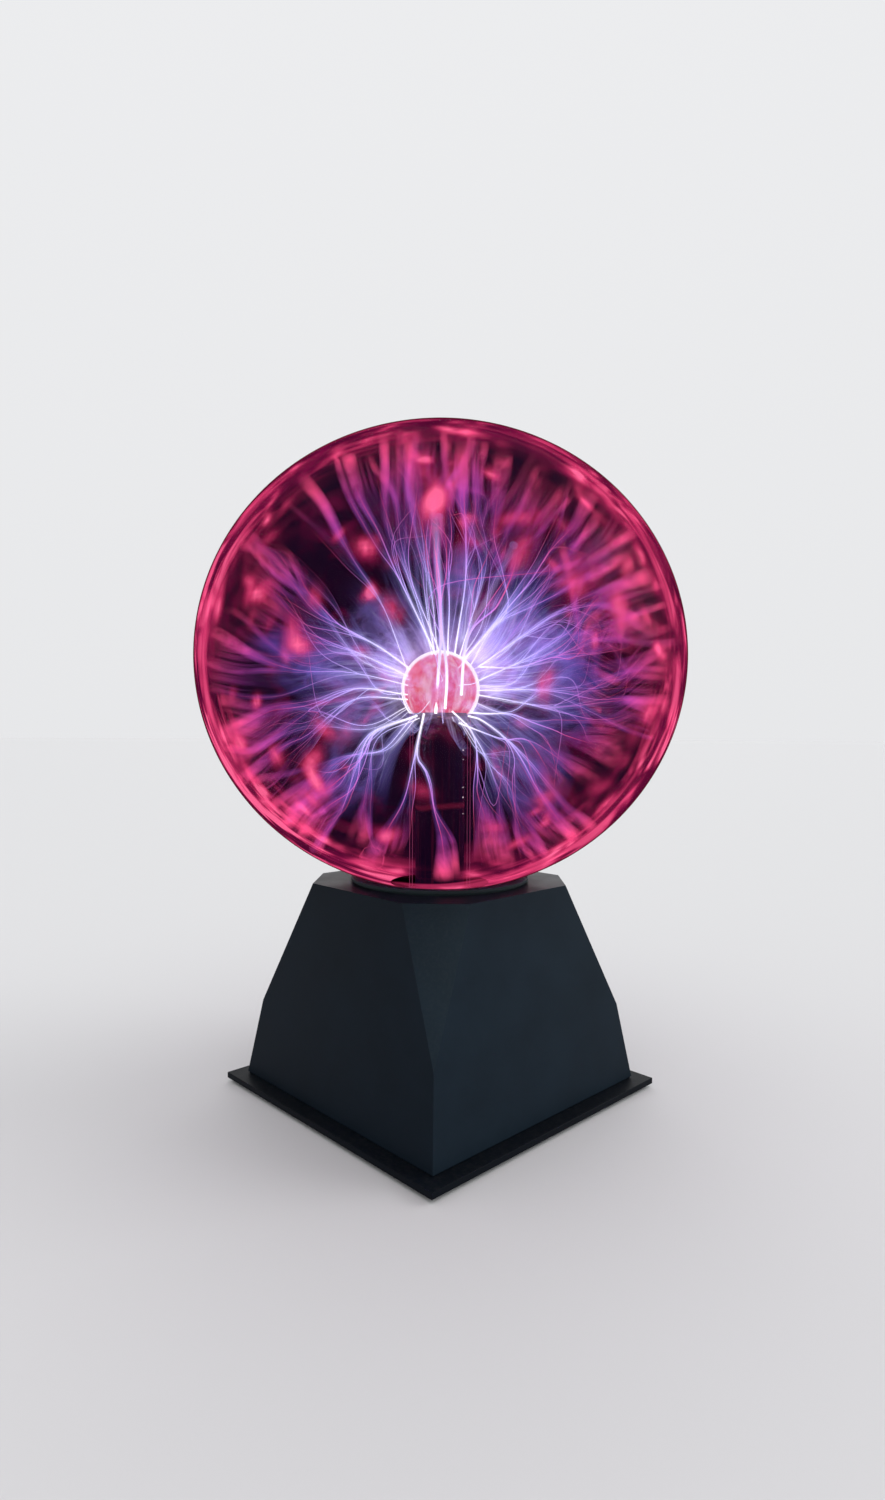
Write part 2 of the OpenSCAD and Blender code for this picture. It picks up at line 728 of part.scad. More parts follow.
module switch_frame() {
    half = switch_size[0] / 2;
    z_half = switch_size[2] / 2;
    color([0.7, 0.7, 0.72]) difference() {
        union() {
            block([switch_x - half, switch_back, switch_z - z_half],
                [switch_x + half, switch_front, switch_z + z_half]);
            for (s = [-1, 1]) translate([switch_x + s * (half - shell_t / 2), switch_back, 0])
                block([-shell_t / 2, 1.5, deck], [shell_t / 2, 4.5, switch_z]);
        }
        block([switch_x - half + shell_t, switch_back - 1, switch_z - z_half + shell_t],
            [switch_x + half - shell_t, switch_front - shell_t, switch_z + z_half - shell_t]);
        block([switch_x - lever_slot, switch_front - 1, switch_z - lever_h / 2 - 0.4],
            [switch_x + lever_slot, switch_front + 1, switch_z + lever_h / 2 + 0.4]);
    }
}

module switch_base() {
    half = switch_size[0] / 2 - shell_t - 0.1;
    z_half = switch_size[2] / 2 - shell_t - 0.1;
    color([0.45, 0.25, 0.12]) difference() {
        block([switch_x - half, switch_back + 0.1, switch_z - z_half],
            [switch_x + half, switch_back + 1.5, switch_z + z_half]);
        for (x = terminal_x) block([switch_x + x - 0.55, switch_back - 1, switch_z - 1.55],
            [switch_x + x + 0.55, switch_back + 2, switch_z - 0.45]);
    }
}

module switch_terminals() {
    y = switch_back;
    color("gold") for (x = terminal_x) translate([switch_x + x, 0, 0]) union() {
        block([-0.5, y + 1.5, switch_z - 1.5], [0.5, y + 1.9, switch_z + 1.5]);
        block([-0.5, y - 0.7, switch_z - 1.5], [0.5, y + 1.9, switch_z - 0.5]);
        block([-0.5, y - 0.7, deck], [0.5, y - 0.2, switch_z - 0.5]);
    }
}

module switch_slider() {
    y0 = switch_back + 2.6;
    y1 = switch_front - shell_t - 0.3;
    color([0.15, 0.15, 0.16]) difference() {
        union() {
            block([slider_x - 3.2, y0, switch_z - 4], [slider_x + 3.2, y1, switch_z + 4]);
            block([slider_x - lever_w / 2, y0, switch_z - lever_h / 2],
                [slider_x + lever_w / 2, lever_tip, switch_z + lever_h / 2]);
        }
        // Grip grooves on the lever's face
        for (i = [-1:1]) block([slider_x + i - 0.2, lever_tip - 0.3, switch_z - lever_h],
            [slider_x + i + 0.2, lever_tip + 1, switch_z + lever_h]);
    }
}

module switch_contact() {
    y = switch_back + 2.2;
    color("gold") block([slider_x - 2, y, switch_z - 1.6], [slider_x + 2, y + 0.4, switch_z + 1.6]);
}

globe_glass();
stem_glass();
fill_tip();
electrode_wool();
electrode_contact();
stem_sleeve();
stem_plug();
high_voltage_lead();
collar_ring();
globe_gasket();
neck_adhesive();
clamp_ring();
clamp_screws();
housing();
base_plate();
base_screws();
feet();
rating_label();
circuit_board();
board_screws();
transformer_core();
high_voltage_coil();
primary_bobbin();
primary_winding();
power_transistor();
heat_sink();
transistor_screw();
electrolytic_capacitors();
film_capacitors();
resistors();
diodes();
control_chip();
microphone();
microphone_sleeve();
microphone_leads();
jack_body();
jack_pin();
jack_spring();
switch_frame();
switch_base();
switch_terminals();
switch_slider();
switch_contact();
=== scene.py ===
"""Plasma ball: a glass globe with a gas discharge on a moulded plastic base."""

import math

import bmesh
import bpy
import numpy as np
from mathutils import Matrix, Vector


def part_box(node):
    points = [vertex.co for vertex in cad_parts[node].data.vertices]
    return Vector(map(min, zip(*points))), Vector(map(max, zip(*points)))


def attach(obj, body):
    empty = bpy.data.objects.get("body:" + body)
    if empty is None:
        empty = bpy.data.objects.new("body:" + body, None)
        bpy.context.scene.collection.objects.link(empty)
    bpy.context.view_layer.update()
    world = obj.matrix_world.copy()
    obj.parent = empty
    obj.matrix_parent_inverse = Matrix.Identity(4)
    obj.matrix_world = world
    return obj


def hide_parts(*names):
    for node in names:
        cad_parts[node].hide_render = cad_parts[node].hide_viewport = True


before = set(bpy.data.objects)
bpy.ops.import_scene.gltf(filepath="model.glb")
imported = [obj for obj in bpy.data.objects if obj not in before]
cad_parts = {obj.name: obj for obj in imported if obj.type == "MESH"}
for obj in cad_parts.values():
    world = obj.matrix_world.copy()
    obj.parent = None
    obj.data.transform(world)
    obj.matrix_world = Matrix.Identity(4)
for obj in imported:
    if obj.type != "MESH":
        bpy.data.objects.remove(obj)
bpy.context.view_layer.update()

bl_info = {
    "name": "Plasma ball",
    "version": (1, 0, 0),
    "blender": (4, 5, 0),
    "location": "View3D > Sidebar > Plasma ball",
    "description": "Builds a plasma ball with its discharge, glass, base and controls",
    "category": "Object",
}

MM = 0.001


# ---- where things are, from the frame ----

def box_mm(node):
    """Lowest and highest corner of a CAD node, in millimetres."""
    low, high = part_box(node)
    return np.array(low) / MM, np.array(high) / MM


GLASS_LOW, GLASS_HIGH = box_mm("globe_glass")
STEM_HIGH = box_mm("stem_glass")[1]

GLOBE_RW = GLASS_HIGH[0]
GLOBE_SQUASH = 0.95
GLOBE_RH = GLOBE_RW * GLOBE_SQUASH
GLOBE_Z = GLASS_HIGH[2] - GLOBE_RH
GLASS_T = 1.8
NECK_R = 21.0
NECK_Z = GLASS_LOW[2]
BULB_R = 16.5
BULB_Z = STEM_HIGH[2] - BULB_R
STEM_R = 13.0
MIDDLE = np.array([0.0, 0.0, GLOBE_Z])
BULB = np.array([0.0, 0.0, BULB_Z])

# Gaps between neighbouring skins, in millimetres.
WALL_GAP = 1.2
BULB_GAP = 1.2
SKIN_GAP = 0.3
STEM_GAP = 0.4
FEET_INSET = 0.14
LINING_INSET = 0.22


# ---- settings ----

def colour(name, text, value):
    """A colour that a user may change."""
    return bpy.props.FloatVectorProperty(name=name, description=text, default=value, size=3,
                                         subtype="COLOR", min=0.0, max=1.0)


def number(name, text, value, low=0.0, high=1.0):
    """A plain number that a user may change."""
    return bpy.props.FloatProperty(name=name, description=text, default=value, min=low, max=high)


def length(name, text, value):
    """A length in metres that a user may change."""
    return bpy.props.FloatProperty(name=name, description=text, default=value, min=0.0,
                                   subtype="DISTANCE", unit="LENGTH", precision=5)


def count(name, text, value, low=1, high=1000):
    """A whole number that a user may change."""
    return bpy.props.IntProperty(name=name, description=text, default=value, min=low, max=high)


class DischargeSettings(bpy.types.PropertyGroup):
    """How much discharge there is, how thick it is and in what colours it glows"""
    seed: count("Seed", "Seed for every random draw in the discharge", 11, 0, 10000)
    streamers: count("Streamers", "Streamers added all round, besides the placed ones", 50, 0, 300)
    threads: count("Threads", "Thin threads that cross between the streamers", 75, 0, 400)
    spots: count("Spots", "Small extra feet on the wall", 95, 0, 400)
    steps: count("Steps", "Points along each streamer", 26, 8, 80)
    core_radius: length("Core radius", "Radius of a bright filament where it leaves the bulb", 0.00034)
    halo_radius: length("Halo radius", "Radius of the soft glow round a filament", 0.0015)
    foot_radius: length("Foot radius", "Radius of the glow where a streamer meets the glass", 0.0031)
    spread: length("Spread", "How far a streamer's branches stand apart at the glass", 0.014)
    ribbons: count("Ribbons", "Broad ribbons of gas round the bulb, besides the placed ones", 34, 0, 200)
    hot: colour("Hot", "Colour of a filament at the bulb", (1.0, 0.93, 1.0))
    lilac: colour("Lilac", "Colour of a filament near the bulb", (0.52, 0.50, 0.98))
    violet: colour("Violet", "Colour of a streamer halfway out", (0.16, 0.11, 0.66))
    purple: colour("Purple", "Colour of a streamer near the glass", (0.45, 0.06, 0.42))
    pink: colour("Pink", "Colour of a streamer's foot", (0.90, 0.075, 0.22))


class GlobeSettings(bpy.types.PropertyGroup):
    """The glow on the globe's wall and the gloss of its glass"""
    # The dark gas colour is painted darkness: the lining behind the gas is a dark sheet in place of the unlit
    # inside of the globe.
    dark: colour("Dark gas", "Colour of the gas between the streamers", (0.0075, 0.0016, 0.0115))
    cloud: colour("Gas cloud", "Colour of the faint glow on the wall", (0.17, 0.004, 0.050))
    foot_faint: colour("Faint foot", "Colour of a weak foot", (0.50, 0.014, 0.10))
    foot: colour("Foot glow", "Colour of a foot on the wall", (0.90, 0.060, 0.20))
    foot_pale: colour("Pale foot", "Colour at the middle of a strong foot", (1.0, 0.13, 0.30))
    # edge is a painted dark outline, dimmer than the bright band inside it, laid where the wall is seen
    # edge-on.
    edge: colour("Edge", "Colour of the gas at the very edge of the globe", (0.10, 0.006, 0.020))
    gloss: number("Gloss", "Strength of the reflections on the glass", 0.25)


class BaseSettings(bpy.types.PropertyGroup):
    """The colours and the edges of the base"""
    plastic: colour("Plastic", "Colour of the moulded housing", (0.0048, 0.0083, 0.0135))
    flange: colour("Flange", "Colour of the base plate", (0.0022, 0.0040, 0.0070))
    collar: colour("Collar", "Colour of the collar ring", (0.030, 0.046, 0.050))
    edge: length("Edge radius", "Rounding along the moulded edges", 0.00035)


class StageSettings(bpy.types.PropertyGroup):
    """The camera and the floor"""
    azimuth: number("Azimuth", "Camera azimuth in degrees", 46.28, -360, 360)
    elevation: number("Elevation", "Camera elevation in degrees", 0.87, -90, 90)
    roll: number("Roll", "Camera roll in degrees", 0.26, -180, 180)
    distance: length("Distance", "Camera distance from the object's axis", 0.350)
    aim: length("Aim", "Height that the camera aims at", 0.14403)
    lens: number("Lens", "Focal length in millimetres on a 36 mm sensor", 19.6, 1, 200)
    shift: number("Shift", "Sideways shift of the camera", 0.00154, -1, 1)
    floor: colour("Floor", "Colour of the floor", (0.62, 0.62, 0.625))


SETTINGS = {"plasma_discharge": DischargeSettings, "plasma_globe": GlobeSettings,
            "plasma_base": BaseSettings, "plasma_stage": StageSettings}


def settings(name):
    """The scene's settings of one group."""
    return getattr(bpy.context.scene, name)


# ---- shader helpers ----

BLACK = (0.0, 0.0, 0.0)
STAIN = (0.1, 0.09, 0.08)


def new_material(name):
    """A node material and its Principled shader."""
    material = bpy.data.materials.new(name)
    material.use_nodes = True
    return material, material.node_tree.nodes["Principled BSDF"]


def put(tree, kind, inputs=None, **options):
    """Adds a node, sets its options and fills its inputs with values or other nodes' sockets."""
    made = tree.nodes.new(kind)
    for key, value in options.items():
        setattr(made, key, value)
    for key, value in (inputs or {}).items():
        feed(tree, made.inputs[key], value)
    return made


def feed(tree, socket, value):
    """Links another node's socket to this one, or sets a plain value."""
    if isinstance(value, bpy.types.NodeSocket):
        tree.links.new(value, socket)
    else:
        socket.default_value = value


def calc(tree, operation, a, b=0.0, clamp=False):
    """A Math node's result."""
    return put(tree, "ShaderNodeMath", {0: a, 1: b}, operation=operation, use_clamp=clamp).outputs[0]


def times(tree, *values, clamp=False):
    """All the values multiplied, in turn; only the last step is clamped."""
    result = values[0]
    for value in values[1:-1]:
        result = calc(tree, "MULTIPLY", result, value)
    return calc(tree, "MULTIPLY", result, values[-1], clamp)


def plus(tree, *values, clamp=False):
    """All the values added up, in turn; only the last step is clamped."""
    result = values[0]
    for value in values[1:-1]:
        result = calc(tree, "ADD", result, value)
    return calc(tree, "ADD", result, values[-1], clamp)


def less(tree, a, b):
    """The first value less the second."""
    return calc(tree, "SUBTRACT", a, b)


def remap(tree, value, from_low, from_high, to_low=0.0, to_high=1.0, mode="LINEAR"):
    """A value moved from one range to another, and held at its ends."""
    made = put(tree, "ShaderNodeMapRange", {0: value, 1: from_low, 2: from_high, 3: to_low, 4: to_high},
               interpolation_type=mode)
    return made.outputs[0]


def fade(tree, value, from_low, from_high, to_low=0.0, to_high=1.0):
    """The same with soft ends."""
    return remap(tree, value, from_low, from_high, to_low, to_high, "SMOOTHSTEP")


def blend(tree, factor, a, b, mode="MIX"):
    """A colour mix."""
    made = put(tree, "ShaderNodeMix", None, data_type="RGBA", blend_type=mode)
    feed(tree, made.inputs[0], factor)
    for socket, value in ((made.inputs[6], a), (made.inputs[7], b)):
        feed(tree, socket, value if isinstance(value, bpy.types.NodeSocket) else (*value, 1.0))
    return made.outputs[2]


def ramp(tree, value, stops):
    """A colour ramp with (position, colour) stops."""
    made = put(tree, "ShaderNodeValToRGB", {0: value})
    elements = made.color_ramp.elements
    while len(elements) < len(stops):
        elements.new(0.5)
    for element, (position, tint) in zip(elements, stops):
        element.position = position
        element.color = (*tint, 1.0)
    return made.outputs[0]


def attribute(tree, name):
    """One of the piece's own values, kept at its vertices."""
    return put(tree, "ShaderNodeAttribute", None, attribute_name=name).outputs["Fac"]


def object_coordinates(tree):
    """Places on the piece itself, in metres."""
    return put(tree, "ShaderNodeTexCoord").outputs["Object"]


def noise(tree, vector, scale, detail=2.0, roughness=0.5, distortion=0.0):
    """A noise texture's value."""
    return put(tree, "ShaderNodeTexNoise", {"Vector": vector, "Scale": scale, "Detail": detail,
                                            "Roughness": roughness, "Distortion": distortion}).outputs["Fac"]


def facing(tree):
    """How far the surface is turned away from the eye, from 0 to 1."""
    return put(tree, "ShaderNodeLayerWeight", {"Blend": 0.5}).outputs["Facing"]


def height_of(tree, vector):
    """A vector's part along Z."""
    return put(tree, "ShaderNodeSeparateXYZ", {0: vector}).outputs[2]


def vector_math(tree, operation, a, b=None):
    """A Vector Math node."""
    inputs = {0: a} if b is None else {0: a, 1: b}
    return put(tree, "ShaderNodeVectorMath", inputs, operation=operation)


def stretched(tree, vector, scale):
    """A vector scaled by its own amount along each axis."""
    return put(tree, "ShaderNodeMapping", {"Vector": vector, "Scale": scale}).outputs[0]


def effect_group(name, inputs, outputs):
    """An empty shader node group with named inputs and outputs."""
    tree = bpy.data.node_groups.new(name, "ShaderNodeTree")
    kinds = {"value": "NodeSocketFloat", "colour": "NodeSocketColor", "vector": "NodeSocketVector"}
    for socket, kind, default in inputs:
        made = tree.interface.new_socket(socket, in_out="INPUT", socket_type=kinds[kind])
        if default is not None:
            made.default_value = default
    for socket, kind in outputs:
        tree.interface.new_socket(socket, in_out="OUTPUT", socket_type=kinds[kind])
    return tree, tree.nodes.new("NodeGroupInput"), tree.nodes.new("NodeGroupOutput")


def grain_group():
    """Moulded plastic: fine spark grain, slow blotches in gloss and colour, and faint dust on top."""
    if "Moulded grain" in bpy.data.node_groups:
        return bpy.data.node_groups["Moulded grain"]
    tree, given, out = effect_group(
        "Moulded grain",
        [("Base", "colour", (0.01, 0.01, 0.01, 1.0)), ("Roughness", "value", 0.45),
         ("Grain size", "value", 0.0006), ("Dust", "value", 0.15)],
        [("Colour", "colour"), ("Roughness", "value"), ("Height", "value")])
    place = object_coordinates(tree)
    fine = noise(tree, place, calc(tree, "DIVIDE", 1.0, given.outputs["Grain size"]), 3.0, 0.6)
    blotch = noise(tree, place, 38.0, 4.0, 0.6)
    up = height_of(tree, put(tree, "ShaderNodeNewGeometry").outputs["Normal"])
    settle = times(tree, remap(tree, up, 0.3, 1.0), given.outputs["Dust"])
    speck = remap(tree, noise(tree, place, 900.0, 3.0, 0.7), 0.45, 0.75)
    dust = times(tree, settle, speck, clamp=True)
    shade = remap(tree, blotch, 0.3, 0.7, 0.86, 1.14)
    body = blend(tree, 1.0, given.outputs["Base"],
                 put(tree, "ShaderNodeCombineColor", {0: shade, 1: shade, 2: shade}).outputs[0], "MULTIPLY")
    feed(tree, out.inputs["Colour"], blend(tree, dust, body, (0.16, 0.15, 0.14)))
    uneven = remap(tree, blotch, 0.3, 0.7, -0.06, 0.06)
    feed(tree, out.inputs["Roughness"],
         plus(tree, given.outputs["Roughness"], uneven, times(tree, dust, 0.3), clamp=True))
    feed(tree, out.inputs["Height"], fine)
    return tree


def surface(name, tint, values):
    """A material with its preview colour set, and its shader's named sockets set or linked."""
    material, shader = new_material(name)
    for key, value in values(material.node_tree).items():
        feed(material.node_tree, shader.inputs[key], value)
    material.diffuse_color = (*tint, 1.0)
    return material


def plastic(name, tint, rough=0.45, grain=0.0006, depth=0.00003, dust=0.15, specular=0.5):
    """A moulded plastic with grain."""
    def values(tree):
        group = put(tree, "ShaderNodeGroup", None, node_tree=grain_group())
        given = {"Base": (*tint, 1.0), "Roughness": rough, "Grain size": grain, "Dust": dust}
        for socket, value in given.items():
            group.inputs[socket].default_value = value
        bump = put(tree, "ShaderNodeBump",
                   {"Strength": 0.5, "Distance": depth, "Height": group.outputs["Height"]})
        return {"Base Color": group.outputs["Colour"], "Roughness": group.outputs["Roughness"],
                "Normal": bump.outputs[0], "Specular IOR Level": specular}

    return surface(name, tint, values)


def metal(name, tint, rough=0.3, brushed=(1.0, 1.0, 1.0)):
    """A metal with fine brushing and faint stains."""
    def values(tree):
        place = object_coordinates(tree)
        lines = noise(tree, stretched(tree, place, brushed), 1500.0, 3.0, 0.6)
        patches = remap(tree, noise(tree, place, 220.0, 4.0, 0.65), 0.55, 0.8)
        bump = put(tree, "ShaderNodeBump", {"Strength": 0.3, "Distance": 0.00002, "Height": lines})
        brushing = remap(tree, lines, 0.3, 0.7, rough - 0.08, rough + 0.1)
        return {"Base Color": blend(tree, times(tree, patches, 0.35), tint, STAIN),
                "Roughness": plus(tree, brushing, times(tree, patches, 0.2), clamp=True),
                "Normal": bump.outputs[0], "Metallic": 1.0}

    return surface(name, tint, values)


# ---- mesh helpers ----

def place_object(name, data):
    """A new object in the scene, at the origin."""
    made = bpy.data.objects.new(name, data)
    bpy.context.collection.objects.link(made)
    return made


def add_object(name, verts, faces, material=None, smooth=True, edges=()):
    """A mesh object from vertices in metres, and faces or loose edges between them."""
    mesh = bpy.data.meshes.new(name)
    mesh.from_pydata([tuple(v) for v in verts], list(edges), [tuple(f) for f in faces])
    mesh.update()
    if smooth and len(faces):
        mesh.polygons.foreach_set("use_smooth", [True] * len(mesh.polygons))
    if material:
        mesh.materials.append(material)
    return place_object(name, mesh)


def add_values(made, values):
    """A named float for each vertex."""
    for name, each in values.items():
        layer = made.data.attributes.new(name, "FLOAT", "POINT")
        layer.data.foreach_set("value", np.asarray(each, dtype=np.float32))


def vertex_places(made):
    """The places of a piece's vertices, in millimetres."""
    place = np.empty(len(made.data.vertices) * 3)
    made.data.vertices.foreach_get("co", place)
    return place.reshape(-1, 3) / MM


def grid_faces(start, rows, columns):
    """Faces between rows of vertices, each row one vertex longer than its columns."""
    corners = [start + i * (columns + 1) + j for i in range(rows - 1) for j in range(columns)]
    return [(at, at + 1, at + columns + 2, at + columns + 1) for at in corners]


def dome(radius, height, middle, start, steps):
    """A profile up an ellipse's side, from an angle to the top, as (radius, height) points."""
    angles = [start + (math.pi / 2 - start) * i / steps for i in range(steps)]
    return [(radius * math.cos(a), middle + height * math.sin(a)) for a in angles] + [(0.0, middle + height)]


def lathe(name, profile, turns, material, closed=False):
    """Turns (radius, height) points in millimetres round the Z axis. Faces point to the left of the way
    that the profile goes, so a profile going up its outside faces outwards."""
    rings, verts = [], []
    for radius, height in profile:
        if radius < 1e-6:
            rings.append([len(verts)])
            verts.append((0.0, 0.0, height * MM))
        else:
            rings.append(list(range(len(verts), len(verts) + turns)))
            for j in range(turns):
                a = 2 * math.pi * j / turns
                verts.append((radius * math.cos(a) * MM, radius * math.sin(a) * MM, height * MM))
    faces = []
    pairs = list(zip(rings, rings[1:])) + ([(rings[-1], rings[0])] if closed else [])
    for low, high in pairs:
        for j in range(turns if len(low) + len(high) > 2 else 0):
            n = (j + 1) % turns
            if len(low) == 1:
                faces.append((low[0], high[n], high[j]))
            elif len(high) == 1:
                faces.append((low[j], low[n], high[0]))
            else:
                faces.append((low[j], low[n], high[n], high[j]))
    return add_object(name, verts, faces, material)


def finished(source, name):
    """The evaluated mesh of source as a plain object of its own; source goes."""
    graph = bpy.context.evaluated_depsgraph_get()
    graph.update()
    mesh = bpy.data.meshes.new_from_object(source.evaluated_get(graph))
    old = source.data
    bpy.data.objects.remove(source)
    bpy.data.meshes.remove(old)
    mesh.name = name
    return place_object(name, mesh)


def ride(made, replaces=()):
    """Puts a piece on the fixed body, and hides the CAD nodes that it replaces."""
    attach(made, "base")
    if replaces:
        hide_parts(*replaces)


def dress(material, *nodes):
    """Gives CAD nodes their finish."""
    for node in nodes:
        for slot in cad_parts[node].material_slots:
            slot.material = material


# ---- discharge paths ----

def way_back(stage):
    """The unit vector from what the camera aims at to the camera."""
    a, e = math.radians(stage.azimuth), math.radians(stage.elevation)
    return math.sin(a) * math.cos(e), -math.cos(a) * math.cos(e), math.sin(e)


def line_and_ball(way, start, limit):
    """The terms of the quadratic that says where a line meets a ball: a, b and what is under the root."""
    a, b, c = way @ way, 2 * way @ start, start @ start - limit
    return a, b, b * b - 4 * a * c


class View:
    """Turns offsets across and up, as seen from the front of the ball, into places in it."""

    def __init__(self):
        stage = settings("plasma_stage")
        a = math.radians(stage.azimuth)
        self.eye = np.array([0.0, 0.0, stage.aim / MM]) + np.array(way_back(stage)) * stage.distance / MM
        self.across = np.array([math.cos(a), math.sin(a), 0.0])
        self.toward = np.array([math.sin(a), -math.cos(a), 0.0])

    def spot(self, across, up, toward=0.0):
        """The place that is so far across, up and toward the front from the globe's middle."""
        return np.array([0.0, 0.0, GLOBE_Z + up]) + across * self.across + toward * self.toward

    def reach(self, across, up, front):
        """How far along the line of sight through a spot the wall is, as a share of the way to the spot."""
        way = (self.spot(across, up) - self.eye) / wall_size()
        a, b, inside = line_and_ball(way, (self.eye - MIDDLE) / wall_size(), 1)
        if inside <= 0:
            return -b / (2 * a)
        return (-b - math.sqrt(inside) * (1 if front else -1)) / (2 * a)

    def route(self, points, front):
        """A streamer's route through spots seen from the front, from the bulb out to the wall. It keeps in
        front of the bulb, and nears the wall little by little."""
        last = self.reach(*points[-1], front)
        steps = np.array(points, dtype=float)
        run = np.concatenate([[0.0], np.cumsum(np.linalg.norm(np.diff(steps, axis=0), axis=1))])
        shares = 1 + (last - 1) * (run / run[-1]) ** 0.9
        shares = [min(share, self.bulb_front(*p)) for p, share in zip(points, shares)]
        return [self.eye + (self.spot(*p) - self.eye) * share for p, share in zip(points, shares)]

    def bulb_front(self, across, up):
        """The share of the way to a spot at which the line of sight meets the bulb, or 2 if it misses it."""
        way = self.spot(across, up) - self.eye
        a, b, inside = line_and_ball(way, self.eye - BULB, (BULB_R + BULB_GAP) ** 2)
        return (-b - math.sqrt(inside)) / (2 * a) if inside > 0 else 2.0


def wall_size():
    """Half sizes of the discharge's outer limit: the inside of the glass, less a gap."""
    inner = GLASS_T + WALL_GAP
    return np.array([GLOBE_RW - inner, GLOBE_RW - inner, GLOBE_RH - inner])


def on_wall(direction):
    """The place on the wall in a direction from the globe's middle."""
    return MIDDLE + direction / np.linalg.norm(direction / wall_size())


def to_wall(point):
    """The place on the wall straight outwards of a point."""
    return on_wall(np.asarray(point) - MIDDLE)


def kept_inside(points):
    """Pulls any point that is past the wall back to it."""
    far = np.linalg.norm((points - MIDDLE) / wall_size(), axis=1)
    return MIDDLE + (points - MIDDLE) / np.maximum(far, 1.0)[:, None]


def smooth_path(points, steps):
    """Catmull-Rom through the points, spread evenly along its length."""
    p = np.array(points, dtype=float)
    p = np.vstack([2 * p[0] - p[1], p, 2 * p[-1] - p[-2]])
    fine = []
    for i in range(1, len(p) - 2):
        t = np.linspace(0, 1, 12, endpoint=False)[:, None]
        a, b, c, d = p[i - 1:i + 3]
        fine.append(0.5 * (2 * b + (c - a) * t + (2 * a - 5 * b + 4 * c - d) * t ** 2
                           + (3 * b - a - 3 * c + d) * t ** 3))
    fine = np.vstack([*fine, p[-2][None]])
    run = np.concatenate([[0.0], np.cumsum(np.linalg.norm(np.diff(fine, axis=0), axis=1))])
    at = np.linspace(0, run[-1], steps)
    return np.stack([np.interp(at, run, fine[:, k]) for k in range(3)], axis=1)


def unit(v):
    """The same direction, one unit long."""
    return v / np.linalg.norm(v)


def ease(x):
    """From 0 to 1 with soft ends, held outside them."""
    x = np.clip(x, 0.0, 1.0)
    return x * x * (3 - 2 * x)


def wander(rng, steps, size, waves=3):
    """A smooth random sideways walk that starts at nothing."""
    t = np.linspace(0, 1, steps)
    total = np.zeros((steps, 3))
    for k in range(1, waves + 1):
        total += np.sin(math.pi * k * (t[:, None] * rng.uniform(0.8, 1.6) + rng.uniform(0, 2, 3))) / k ** 1.2
    total -= total[0]
    return total * size * ease(t * 1.6)[:, None]
